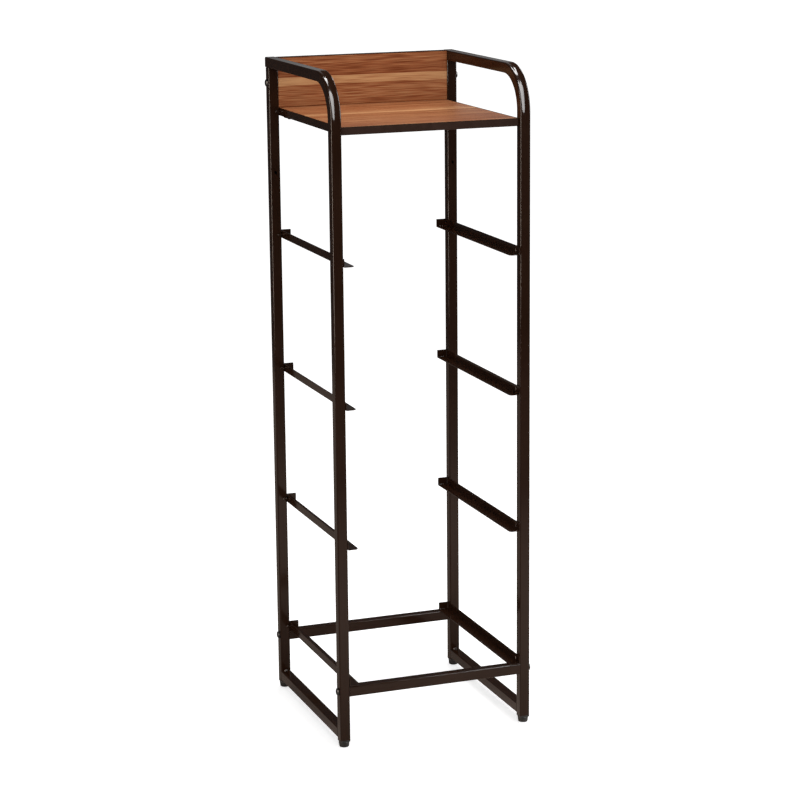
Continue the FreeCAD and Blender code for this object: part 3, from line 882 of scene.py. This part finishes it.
@dataclass
class Runner(FoldedSheet):
    """A runner: flat flange inwards, upright flange outside, and a stop at the rear."""

    nose: float = 6.0 * MM
    stop_corner: float = 1.0 * MM

    def build(self, side: Side, node: str) -> None:
        """Builds a runner.

        Args:
            side: which side frame it is on.
            node: the node that it stands for.
        """
        low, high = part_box(node)
        reach, length, rise = high - low
        shape = bmesh.new()
        spots = pulled(shape, [shape.verts.new((0.0, 0.0, rise))], ALONG_Z * (self.fold - rise))
        pulled(shape, self.fold_in(shape, spots), ALONG_X * (reach - self.fold))
        straight = length - self.fold
        pulled(shape, shape.edges[:], ALONG_Y * straight)
        self.fold_stop(shape, straight, rise)
        corner = max(shape.verts, key=lambda spot: spot.co.x - spot.co.y - spot.co.z)
        rounded(shape, [corner], self.nose)
        self.hand_over(side, node, shape)

    def fold_stop(self, shape: BMesh, depth: float, rise: float) -> None:
        """Folds the rear end of the flat flange up into a stop.

        Args:
            shape: the runner, which ends where the fold starts.
            depth: the Y of that end.
            rise: the height of the stop.
        """
        ends = [edge for edge in shape.edges if self.across_end(edge, depth)]
        flat = max(ends, key=lambda edge: sum(spot.co.x for spot in edge.verts))
        pulled(shape, [edge for edge in ends if edge != flat], ALONG_Y * self.fold)
        pivot = Vector((0.0, depth, self.fold))
        top = swung(shape, [flat], pivot, ALONG_X, RIGHT_ANGLE, self.fold_steps)
        pulled(shape, top, ALONG_Z * (rise - self.fold))
        corner = max(shape.verts, key=lambda spot: spot.co.x + spot.co.y + spot.co.z)
        rounded(shape, [corner], self.stop_corner)

    @staticmethod
    def across_end(edge: BMEdge, depth: float) -> bool:
        """Whether an edge lies across the far end at a depth."""
        return all(abs(spot.co.y - depth) < SAME_SPOT for spot in edge.verts)


@dataclass
class SupportBar(FoldedSheet):
    """A shelf support: a flat bar beside the end of the shelf, with two lugs folded in under the shelf."""

    fold: float = 1.4 * MM
    rise: float = 13.0 * MM
    lug_length: float = 10.0 * MM
    lug_corner: float = 1.0 * MM

    def build(self, side: Side, node: str, stations: Sequence[float]) -> None:
        """Builds a support.

        Args:
            side: which side frame it is on.
            node: the node that it stands for.
            stations: the Y of the middle of each lug.
        """
        low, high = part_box(node)
        reach, length, height = high - low
        foot = height - self.rise
        stops = [0.0, length]
        for station in stations:
            stops += [station - low.y - self.lug_length / 2, station - low.y + self.lug_length / 2]
        shape = bmesh.new()
        spots = [shape.verts.new((0.0, stop, foot)) for stop in sorted(stops)]
        lower = [shape.edges.new(pair) for pair in zip(spots, spots[1:])]
        pulled(shape, lower, ALONG_Z * self.rise)
        ends = pulled(shape, lower[1::2], ALONG_Z * (self.fold - foot))
        ends = pulled(shape, self.fold_in(shape, ends), ALONG_X * (reach - self.fold))
        rounded(shape, [spot for edge in ends for spot in edge.verts], self.lug_corner)
        self.hand_over(side, node, shape)


@dataclass
class SideFrame:
    """One welded side frame."""

    side: Side
    tube: SquareTube = field(default_factory=SquareTube)
    bead: WeldBead = field(default_factory=WeldBead)
    runner: Runner = field(default_factory=Runner)
    support: SupportBar = field(default_factory=SupportBar)
    bend_radius: float = 66 * MM
    bend_steps: int = 44
    dent_cuts: int = 15
    dent_depth: float = 1.5 * MM
    dent_lead: float = 10 * MM
    lead_steps: int = 8
    dent_ease: float = 18 * MM
    wall_hole: float = 5.0 * MM
    wall_hole_height: float = 925 * MM
    hole_sides: int = 24
    levels: int = 4
    bead_overlap: float = 0.42
    bead_turn: float = 1.3
    cap_edge: float = 0.7 * MM

    def node(self, stem: str) -> str:
        """A node's name on this side."""
        return f"{stem}_{self.side.word}"

    def build(self) -> None:
        """Builds every piece of the side frame."""
        self.build_front_tube()
        self.build_rear_upright()
        self.tube.build_straight(self.node("bottom_rail"), Axis.DEPTH)
        for node in self.runner_nodes():
            self.runner.build(self.side, node)
        self.support.build(self.side, self.node("shelf_support"), screw_depths())
        self.build_welds()
        self.build_end_cap()

    def runner_nodes(self) -> list[str]:
        """The nodes of the runners, from the lowest up."""
        return [f"runner_{self.side.word}_{level}" for level in range(1, self.levels + 1)]

    def build_front_tube(self) -> None:
        """Builds leg and arm from one bent tube, its outer wall pressed in along the bend and just below."""
        node = self.node("front_tube")
        low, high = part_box(node)
        middle_x = (low.x + high.x) / 2
        leg_y = low.y + self.tube.side / 2
        bend_z = high.z - self.tube.side / 2 - self.bend_radius
        pivot = Vector((middle_x, leg_y + self.bend_radius, bend_z))
        shape = bmesh.new()
        ends = self.tube.section(shape, Matrix.Translation((middle_x, leg_y, low.z)), self.dent_cuts)
        ends = pulled(shape, ends, ALONG_Z * (bend_z - self.dent_lead - low.z))
        for _ in range(self.lead_steps):
            ends = pulled(shape, ends, ALONG_Z * (self.dent_lead / self.lead_steps))
        ends = swung(shape, ends, pivot, ALONG_X, -RIGHT_ANGLE, self.bend_steps)
        pulled(shape, ends, ALONG_Y * (high.y - pivot.y))
        for spot in shape.verts:
            self.press_in(spot, pivot)
        self.tube.hand_over(node, "bent", shape)

    def press_in(self, spot: BMVert, pivot: Vector) -> None:
        """Presses a point of the bend's outer wall in, most along its middle.

        Args:
            spot: the point.
            pivot: the centre of the bend.
        """
        below = min(spot.co.z - pivot.z, 0.0)
        arm = Vector((0.0, spot.co.y - pivot.y, max(spot.co.z - pivot.z, 0.0)))
        along = self.dent_lead + below + math.atan2(arm.z, -arm.y) * self.bend_radius
        length = self.dent_lead + RIGHT_ANGLE * self.bend_radius
        ends = min(along, length - along) / self.dent_ease
        outside = arm.length - self.bend_radius
        half_flat = self.tube.side / 2 - self.tube.corner / 2
        share = abs(spot.co.x - pivot.x) / half_flat
        if ends <= 0 or outside < half_flat or share >= 1:
            return
        ease = math.sin(min(ends, 1.0) * RIGHT_ANGLE) ** 2
        hollow = math.cos(share * RIGHT_ANGLE) ** 2
        spot.co -= arm.normalized() * self.dent_depth * ease * hollow

    def build_rear_upright(self) -> None:
        """Builds the rear upright with its wall fixing hole."""
        node = self.node("rear_upright")
        low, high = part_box(node)
        middle = centre_of(node)
        margin = self.tube.side / 2 - self.tube.corner
        shape = bmesh.new()
        ends = self.tube.section(shape, Matrix.Translation((middle.x, middle.y, low.z)))
        height = low.z
        for stop in (self.wall_hole_height - margin, self.wall_hole_height + margin, high.z):
            ends = pulled(shape, ends, ALONG_Z * (stop - height))
            height = stop
        for y in (middle.y - self.tube.side / 2, middle.y + self.tube.side / 2):
            self.cut_hole(shape, Vector((middle.x, y, self.wall_hole_height)))
        self.tube.hand_over(node, "tube", shape)

    def cut_hole(self, shape: BMesh, at: Vector) -> None:
        """Opens a round hole in the flat face around a point.

        Args:
            shape: the tube.
            at: the middle of the face and of the hole.
        """
        face = min(shape.faces, key=lambda item: (item.calc_center_median() - at).length)
        rim = list(face.edges)
        bmesh.ops.delete(shape, geom=[face], context="FACES_ONLY")
        bmesh.ops.subdivide_edges(shape, edges=rim, cuts=self.hole_sides // len(rim) - 1)
        rim = [edge for edge in shape.edges if edge.is_boundary and self.near(edge, at)]
        place = Matrix.Translation(at) @ Matrix.Rotation(RIGHT_ANGLE, 4, "X")
        made = bmesh.ops.create_circle(
            shape, segments=self.hole_sides, radius=self.wall_hole / 2, matrix=place,
        )
        bmesh.ops.bridge_loops(shape, edges=rim + edges_at(made["verts"]))

    def near(self, edge: BMEdge, at: Vector) -> bool:
        """Whether an edge is beside a point, within a tube's width."""
        return all((spot.co - at).length < self.tube.side for spot in edge.verts)

    def weld_places(self) -> Iterator[tuple[Vector, Vector]]:
        """Where the beads are.

        Yields:
            The middle of a bead and the direction that it runs in.
        """
        rail_low, rail_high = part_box(self.node("bottom_rail"))
        heights = [centre_of(node).z for node in self.runner_nodes()]
        low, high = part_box(self.node("shelf_support"))
        heights.append(high.z - self.support.rise / 2)
        face_x = low.x if self.side is Side.LEFT else high.x
        rear_x = face_x + self.side.value * self.bead.length * self.bead_overlap
        for z in heights:
            yield Vector((rear_x, rail_high.y, z)), ALONG_X
            yield Vector((face_x, rail_low.y, z)), ALONG_Z
        upright = self.node("rear_upright")
        upright_x = centre_of(upright).x
        for y in (rail_low.y, rail_high.y):
            yield Vector((upright_x, y, rail_high.z)), ALONG_X
        yield Vector((upright_x, rail_high.y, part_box(upright)[1].z)), ALONG_X

    def build_welds(self) -> None:
        """Builds the weld beads."""
        shape = bmesh.new()
        for index, (middle, along) in enumerate(self.weld_places()):
            self.bead.add(shape, middle, along, turn=self.bead_turn * index)
        Piece(self.node("weld_beads"), "rippled", shape, COAT).hand_over()

    def build_end_cap(self) -> None:
        """Builds the cap in the rear end of the arm."""
        node = self.node("arm_end_cap")
        low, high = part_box(node)
        middle = centre_of(node)
        arm_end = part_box(self.node("front_tube"))[1].y
        rearwards = Matrix.Rotation(-RIGHT_ANGLE, 4, "X")
        place = Matrix.Translation((middle.x, arm_end, middle.z)) @ rearwards
        shape = self.tube.plug(place, high.y - arm_end, arm_end - low.y)
        Piece(node, "plug", shape, PLASTIC, edge=self.cap_edge).hand_over()


@dataclass
class ButtonBolt:
    """A button head bolt with a hexagon socket; the underside of its head is at its own origin."""

    head: float = 13.0 * MM
    rise: float = 3.3 * MM
    dome: float = 2.6 * MM
    dome_steps: int = 8
    shank: float = 6.0 * MM
    length: float = 30.0 * MM
    socket: float = 4.0 * MM
    socket_depth: float = 2.0 * MM
    socket_sides: int = 6
    sides: int = 36

    def add(self, shape: BMesh, place: Matrix) -> None:
        """Adds a bolt.

        Args:
            shape: the shape that it is added to, where every other form is closed.
            place: where it goes, its shank along +Z.
        """
        flat = self.head / 2 - self.dome
        profile = rounded_edge(flat, -self.rise, self.dome, self.dome_steps)
        profile += [(self.head / 2, 0.0), (self.shank / 2, 0.0), (self.shank / 2, self.length)]
        turned(shape, profile + [(0.0, self.length)], place, self.sides)
        rim = [edge for edge in shape.edges if edge.is_boundary]
        top = place @ Matrix.Translation((0.0, 0.0, -self.rise))
        corner = self.socket / 2 / math.cos(math.pi / self.socket_sides)
        made = bmesh.ops.create_circle(shape, segments=self.socket_sides, radius=corner, matrix=top)
        cuts = self.sides // self.socket_sides - 1
        bmesh.ops.subdivide_edges(shape, edges=edges_at(made["verts"]), cuts=cuts)
        hexagon = [edge for edge in shape.edges if edge.is_wire]
        bmesh.ops.bridge_loops(shape, edges=rim + hexagon)
        floor = pulled(shape, hexagon, place.to_3x3() @ ALONG_Z * self.socket_depth)
        bmesh.ops.contextual_create(shape, geom=floor)

    def build_pairs(self, node: str, depths: Sequence[float]) -> None:
        """Builds a group of frame bolts, one on each side at each depth.

        Args:
            node: the node that they stand for.
            depths: the Y of each pair.
        """
        shape = bmesh.new()
        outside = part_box("rear_upright_right")[1].x
        height = centre_of(node).z
        for depth in depths:
            for side in Side:
                inwards = Matrix.Rotation(-side.value * RIGHT_ANGLE, 4, "Y")
                self.add(shape, Matrix.Translation((side.value * outside, depth, height)) @ inwards)
        Piece(node, "button", shape, BLACK_STEEL).hand_over()


@dataclass
class Crossbars:
    """The two bolted crossbars, with the bolts and plugs that hold them."""

    nodes: tuple[str, str] = ("front_crossbar", "rear_crossbar")
    tube: SquareTube = field(default_factory=SquareTube)
    bolt: ButtonBolt = field(default_factory=ButtonBolt)

    def build(self) -> None:
        """Builds the bars and their bolts, and dresses the plugs inside."""
        for node in self.nodes:
            self.tube.build_straight(node, Axis.ACROSS)
        self.bolt.build_pairs("crossbar_bolts", [centre_of(node).y for node in self.nodes])
        dress("crossbar_plugs", ZINC)


@dataclass
class TopShelf:
    """The shelf board and back panel, with their bands and fastenings."""

    bolt: ButtonBolt = field(default_factory=ButtonBolt)
    rounding: float = 0.5 * MM
    band_rounding: float = 0.3 * MM
    screw_head: float = 8.0 * MM
    screw_rise: float = 2.4 * MM
    screw_shank: float = 3.9 * MM
    screw_length: float = 11.0 * MM
    screw_dome: float = 1.6 * MM
    dome_steps: int = 6

    def build(self) -> None:
        """Builds the boards, their bands and the fastenings."""
        for node, finish, rounding in (
            ("shelf_board", SHELF, self.rounding),
            ("back_panel", PANEL, self.rounding),
            ("panel_top_band", BAND, self.band_rounding),
        ):
            shape = bmesh.new()
            block(shape, *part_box(node), rounding)
            Piece(node, "faced", shape, finish).hand_over()
        self.build_shelf_bands()
        self.build_screws()
        self.bolt.build_pairs("panel_bolts", [centre_of("rear_upright_left").y])
        dress("panel_inserts", ZINC)

    def build_shelf_bands(self) -> None:
        """Builds the bands on the front and rear edges of the shelf."""
        node = "shelf_edge_bands"
        low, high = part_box(node)
        board_low, board_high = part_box("shelf_board")
        shape = bmesh.new()
        block(shape, low, Vector((high.x, board_low.y, high.z)), self.band_rounding)
        block(shape, Vector((low.x, board_high.y, low.z)), high, self.band_rounding)
        Piece(node, "glued", shape, BAND).hand_over()

    def build_screws(self) -> None:
        """Builds the pan head screws under the shelf."""
        node = "shelf_screws"
        low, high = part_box(node)
        head = self.screw_head / 2
        shank = self.screw_shank / 2
        tip = self.screw_rise + self.screw_length
        dome = rounded_edge(head - self.screw_dome, 0.0, self.screw_dome, self.dome_steps)
        profile = [(0.0, 0.0), *dome, (head, self.screw_rise), (shank, self.screw_rise)]
        profile += [(shank, tip), (0.0, tip)]
        shape = bmesh.new()
        for x in (low.x + head, high.x - head):
            for y in screw_depths():
                turned(shape, profile, Matrix.Translation((x, y, low.z)))
        Piece(node, "pan", shape, BLACK_STEEL).hand_over()


def screw_depths() -> tuple[float, float]:
    """The Y of the front and of the rear shelf screws."""
    low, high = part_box("shelf_screws")
    return low.y + TopShelf.screw_head / 2, high.y - TopShelf.screw_head / 2


@dataclass
class LevellingFoot:
    """A levelling foot: insert in the tube, threaded stud and round glide."""

    corner: Corner
    tube: SquareTube = field(default_factory=SquareTube)
    insert_edge: float = 0.3 * MM
    bore: float = 6.1 * MM
    play: float = 0.1 * MM
    neck: float = 2.0 * MM
    pitch: float = 1.0 * MM
    thread_depth: float = 0.5 * MM
    crest_start: float = 0.45
    crest_end: float = 0.55
    stud_sides: int = 28
    taper: float = 1.0 * MM
    base_edge: float = 1.2 * MM
    top_edge: float = 0.6 * MM
    edge_steps: int = 6
    glide_sides: int = 48

    def build(self) -> None:
        """Builds the three pieces of the foot."""
        self.build_insert()
        self.build_stud()
        self.build_glide()

    def upright(self) -> str:
        """The node of the tube above the foot."""
        end, side = self.corner.value.split("_")
        return f"front_tube_{side}" if end == "front" else f"rear_upright_{side}"

    def build_insert(self) -> None:
        """Builds the insert: a flange under the tube and a block inside it."""
        node = f"foot_insert_{self.corner.value}"
        low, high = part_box(node)
        middle = centre_of(node)
        tube_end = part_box(self.upright())[0].z
        downwards = Matrix.Diagonal((1.0, -1.0, -1.0, 1.0))
        place = Matrix.Translation((middle.x, middle.y, tube_end)) @ downwards
        shape = self.tube.plug(place, tube_end - low.z, high.z - tube_end)
        Piece(node, "moulded", shape, PLASTIC, edge=self.insert_edge).hand_over()

    def build_stud(self) -> None:
        """Builds the stud with its thread."""
        node = f"foot_stud_{self.corner.value}"
        low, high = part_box(node)
        head = (high.x - low.x) / 2
        neck = low.z + self.neck
        crest = (self.bore - self.play) / 2
        root = crest - self.thread_depth
        profile = [(0.0, low.z), (head, low.z), (head, neck), (root, neck)]
        height = neck + self.pitch
        while height + self.pitch < high.z:
            profile.append((root, height))
            profile += [(crest, height + self.pitch * share) for share in (self.crest_start, self.crest_end)]
            height += self.pitch
        profile += [(root, height), (root, high.z), (0.0, high.z)]
        self.hand_over_turned(node, "threaded", profile, self.stud_sides, ZINC)

    def build_glide(self) -> None:
        """Builds the glide that stands on the floor."""
        node = f"foot_glide_{self.corner.value}"
        low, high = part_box(node)
        top = (high.x - low.x) / 2
        base = top - self.taper
        lower = rounded_edge(base - self.base_edge, low.z, self.base_edge, self.edge_steps)
        upper = rounded_edge(top - self.top_edge, high.z, self.top_edge, self.edge_steps, rise=-1)
        profile = [(0.0, low.z), *lower, *reversed(upper), (self.bore / 2, high.z)]
        self.hand_over_turned(node, "round", profile, self.glide_sides, PLASTIC)

    def hand_over_turned(self, node: str, form: str, profile: Profile, sides: int, finish: Finish) -> None:
        """Turns a piece that moves with the foot and hands it over.

        Args:
            node: the node that it stands for.
            form: the last word of its name.
            profile: pairs of radius and height along its outline.
            sides: how many faces it has round it.
            finish: its finish.
        """
        middle = centre_of(node)
        shape = bmesh.new()
        turned(shape, profile, Matrix.Translation((middle.x, middle.y, 0.0)), sides)
        Piece(node, form, shape, finish, body=f"foot_{self.corner.value}").hand_over()


@dataclass(frozen=True)
class Softbox:
    """A softbox that faces the middle of the object; one that shows in gloss does nothing else."""

    name: str
    place: Triple
    size: tuple[float, float]
    power: float
    shows: Shows = Shows.NOWHERE
    tint: Triple = WHITE
    aim: Triple = (0.0, 0.0, 0.6)

    def add(self, scene: Scene, metal: Collection) -> None:
        """Adds the softbox to the scene.

        Args:
            scene: the scene.
            metal: the pieces that it shows in where it shows in metal.
        """
        data = bpy.data.lights.new(self.name, "AREA")
        data.shape = "RECTANGLE"
        data.size, data.size_y = self.size
        data.energy = self.power
        data.color = self.tint
        lamp = bpy.data.objects.new(self.name, data)
        turn = (Vector(self.aim) - Vector(self.place)).to_track_quat("-Z", "Y").to_matrix().to_4x4()
        lamp.matrix_world = Matrix.Translation(self.place) @ turn
        lamp.visible_camera = False
        lamp.visible_diffuse = self.shows is Shows.NOWHERE
        lamp.visible_glossy = self.shows is not Shows.NOWHERE
        if self.shows is Shows.IN_METAL:
            lamp.light_linking.receiver_collection = metal
        scene.collection.objects.link(lamp)


SOFTBOXES = (
    Softbox("softbox_top", (0.9, 0.4, 3.0), (2.4, 2.4), 45.0),
    Softbox("softbox_front", (-1.0, -3.2, 2.2), (1.8, 1.8), 25.0),
    Softbox("shine_right", (2.03, -1.32, 1.80), (1.7, 3.4), 380.0, Shows.IN_METAL),
    Softbox("shine_behind", (1.46, 0.91, 2.8), (0.95, 0.60), 31.0, Shows.IN_METAL),
    Softbox("shine_left", (-2.31, -0.96, 1.3), (0.9, 2.4), 175.0, Shows.IN_METAL, tint=(1.0, 0.84, 0.72)),
    Softbox("shine_back", (0.90, 2.45, 1.75), (1.5, 0.9), 1.2, Shows.EVERYWHERE),
)


@dataclass
class Studio:
    """Floor, light and camera."""

    eye: Triple = (-1.4209, -3.8668, 1.4874)
    yaw: float = 0.353
    pitch: float = 0.225
    roll: float = -0.010
    focal_pixels: float = 2477.1
    picture_pixels: float = 800.0
    sensor: float = 36.0
    sight: float = 200.0
    ambient: float = 0.60
    floor_size: float = 80.0
    floor_white: float = 0.86
    floor_roughness: float = 0.9
    near_glow: tuple[float, float] = (0.8, 0.55)
    far_glow: tuple[float, float] = (5.0, 0.62)
    # The pool is a painted reflection: how bright the floor looks in gloss near the object and further off,
    # and its warm tint.
    pool_middle: Triple = (0.30, -0.80, 0.0)
    pool_inside: tuple[float, float] = (0.3, 0.95)
    pool_outside: tuple[float, float] = (1.0, 0.21)
    pool_tint: Triple = (1.0, 0.82, 0.70)
    dome: Profile = ((2.9, 0.0), (2.9, 2.2), (2.3, 3.0), (1.2, 3.5), (0.0, 3.6))
    dome_sides: int = 64
    dome_glow: float = 0.04

    def build(self) -> None:
        """Sets up the studio."""
        scene = bpy.context.scene
        scene.view_settings.view_transform = "Standard"
        self.build_camera(scene)
        self.build_world(scene)
        self.build_floor()
        self.build_dome()
        metal = self.all_but_boards(scene)
        for softbox in SOFTBOXES:
            softbox.add(scene, metal)

    def build_camera(self, scene: Scene) -> None:
        """Makes the camera at the photograph's viewpoint.

        Args:
            scene: the scene that it is made for.
        """
        level = math.cos(self.pitch)
        ahead = Vector((math.sin(self.yaw) * level, math.cos(self.yaw) * level, -math.sin(self.pitch)))
        right = Vector((math.cos(self.yaw), -math.sin(self.yaw), 0.0))
        upwards = right.cross(ahead)
        across = math.cos(self.roll) * right + math.sin(self.roll) * upwards
        upwards = math.cos(self.roll) * upwards - math.sin(self.roll) * right
        data = bpy.data.cameras.new("camera")
        data.sensor_width = self.sensor
        data.lens = self.sensor * self.focal_pixels / self.picture_pixels
        data.clip_end = self.sight
        camera = bpy.data.objects.new("camera", data)
        turn = Matrix((across, upwards, -ahead)).transposed().to_4x4()
        camera.matrix_world = Matrix.Translation(self.eye) @ turn
        scene.collection.objects.link(camera)
        scene.camera = camera

    @staticmethod
    def seen(writer: NodeWriter) -> NodeSocket:
        """A mask that is 1 for what the eye sees straight, mirrored or through glass.

        Args:
            writer: the node writer of the floor or the surroundings.

        Returns:
            The mask.
        """
        rays = writer.add("ShaderNodeLightPath").outputs
        mirrored = writer.calc("MAXIMUM", rays["Is Glossy Ray"], rays["Is Transmission Ray"])
        return writer.calc("MAXIMUM", rays["Is Camera Ray"], mirrored)

    def build_world(self, scene: Scene) -> None:
        """Makes the surroundings: white to the eye, and a soft even light.

        Args:
            scene: the scene that they are made for.
        """
        world = bpy.data.worlds.new("surroundings")
        world.use_nodes = True
        scene.world = world
        writer = NodeWriter(world.node_tree)
        strength = writer.spread(self.seen(writer), self.ambient, 1.0)
        writer.fill(world.node_tree.nodes["Background"], {"Color": OPAQUE_WHITE, "Strength": strength})

    def build_floor(self) -> None:
        """Makes the pale floor that keeps the shadows; from below, the eye looks through it. In gloss it
        shows a painted pool of warm light around the object, which dims further away.
        """
        writer, shader, made = new_material("pale_floor")
        lit = self.falling(writer, ORIGIN, self.near_glow, self.far_glow)
        # pool: a painted pool of warm light, seen only in gloss, brightest near the object.
        pool = self.falling(writer, self.pool_middle, self.pool_inside, self.pool_outside)
        mirrored = writer.add("ShaderNodeLightPath").outputs["Is Glossy Ray"]
        inputs = {"Factor": mirrored, MIX_A: WHITE, MIX_B: writer.scaled(self.pool_tint, pool)}
        tint = writer.add("ShaderNodeMix", inputs, data_type="VECTOR").outputs[MIX_RESULT]
        writer.fill(shader, {
            "Base Color": writer.scaled(tint, self.floor_white),
            "Roughness": self.floor_roughness,
            "Specular IOR Level": 0.0,
            "Emission Color": tint,
            "Emission Strength": writer.calc("MULTIPLY", self.seen(writer), lit),
        })
        below = writer.add("ShaderNodeNewGeometry").outputs["Backfacing"]
        clear = writer.add("ShaderNodeBsdfTransparent").outputs["BSDF"]
        mixed = writer.add("ShaderNodeMixShader", {0: below, 1: shader.outputs["BSDF"], 2: clear})
        writer.fill(writer.tree.nodes["Material Output"], {"Surface": mixed.outputs["Shader"]})
        shape = bmesh.new()
        bmesh.ops.create_grid(shape, x_segments=1, y_segments=1, size=self.floor_size / 2)
        new_object("floor", shape, made)

    @staticmethod
    def falling(
        writer: NodeWriter, middle: Triple, inside: tuple[float, float], outside: tuple[float, float]
    ) -> NodeSocket:
        """A value that changes with the distance from a point.

        Args:
            writer: the material's node writer.
            middle: the point.
            inside: a distance, and the value up to there.
            outside: a larger distance, and the value from there on.

        Returns:
            The value.
        """
        spots = writer.add("ShaderNodeTexCoord").outputs["Object"]
        away = writer.add("ShaderNodeVectorMath", {0: spots, 1: middle}, operation="DISTANCE")
        return writer.spread(away.outputs["Value"], inside[1], outside[1], inside[0], outside[0])

    def build_dome(self) -> None:
        """Closes a dim dome over the set, which only shows in gloss."""
        writer, shader, made = new_material("dim_dome")
        writer.fill(shader, {
            "Base Color": OPAQUE_BLACK,
            "Specular IOR Level": 0.0,
            "Emission Color": OPAQUE_WHITE,
            "Emission Strength": self.dome_glow,
        })
        shape = bmesh.new()
        turned(shape, self.dome, Matrix.Identity(4), self.dome_sides)
        dome = new_object("dome", shape, made)
        dome.visible_camera = False
        dome.visible_diffuse = False
        dome.visible_shadow = False

    @staticmethod
    def all_but_boards(scene: Scene) -> Collection:
        """Gathers every piece but the boards and their bands.

        Args:
            scene: the scene that the pieces are in.

        Returns:
            The pieces.
        """
        boards = {SHELF.name, PANEL.name, BAND.name}
        group = bpy.data.collections.new("all_but_boards")
        for item in scene.objects:
            if item.type == "MESH" and not boards.intersection(item.data.materials.keys()):
                group.objects.link(item)
        return group


def main() -> None:
    """Builds the pieces in order."""
    logging.basicConfig(level=logging.INFO, format="%(message)s")
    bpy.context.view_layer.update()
    for side in Side:
        SideFrame(side).build()
    Crossbars().build()
    TopShelf().build()
    for corner in Corner:
        LevellingFoot(corner).build()
    Studio().build()


if __name__ == "__main__":
    main()
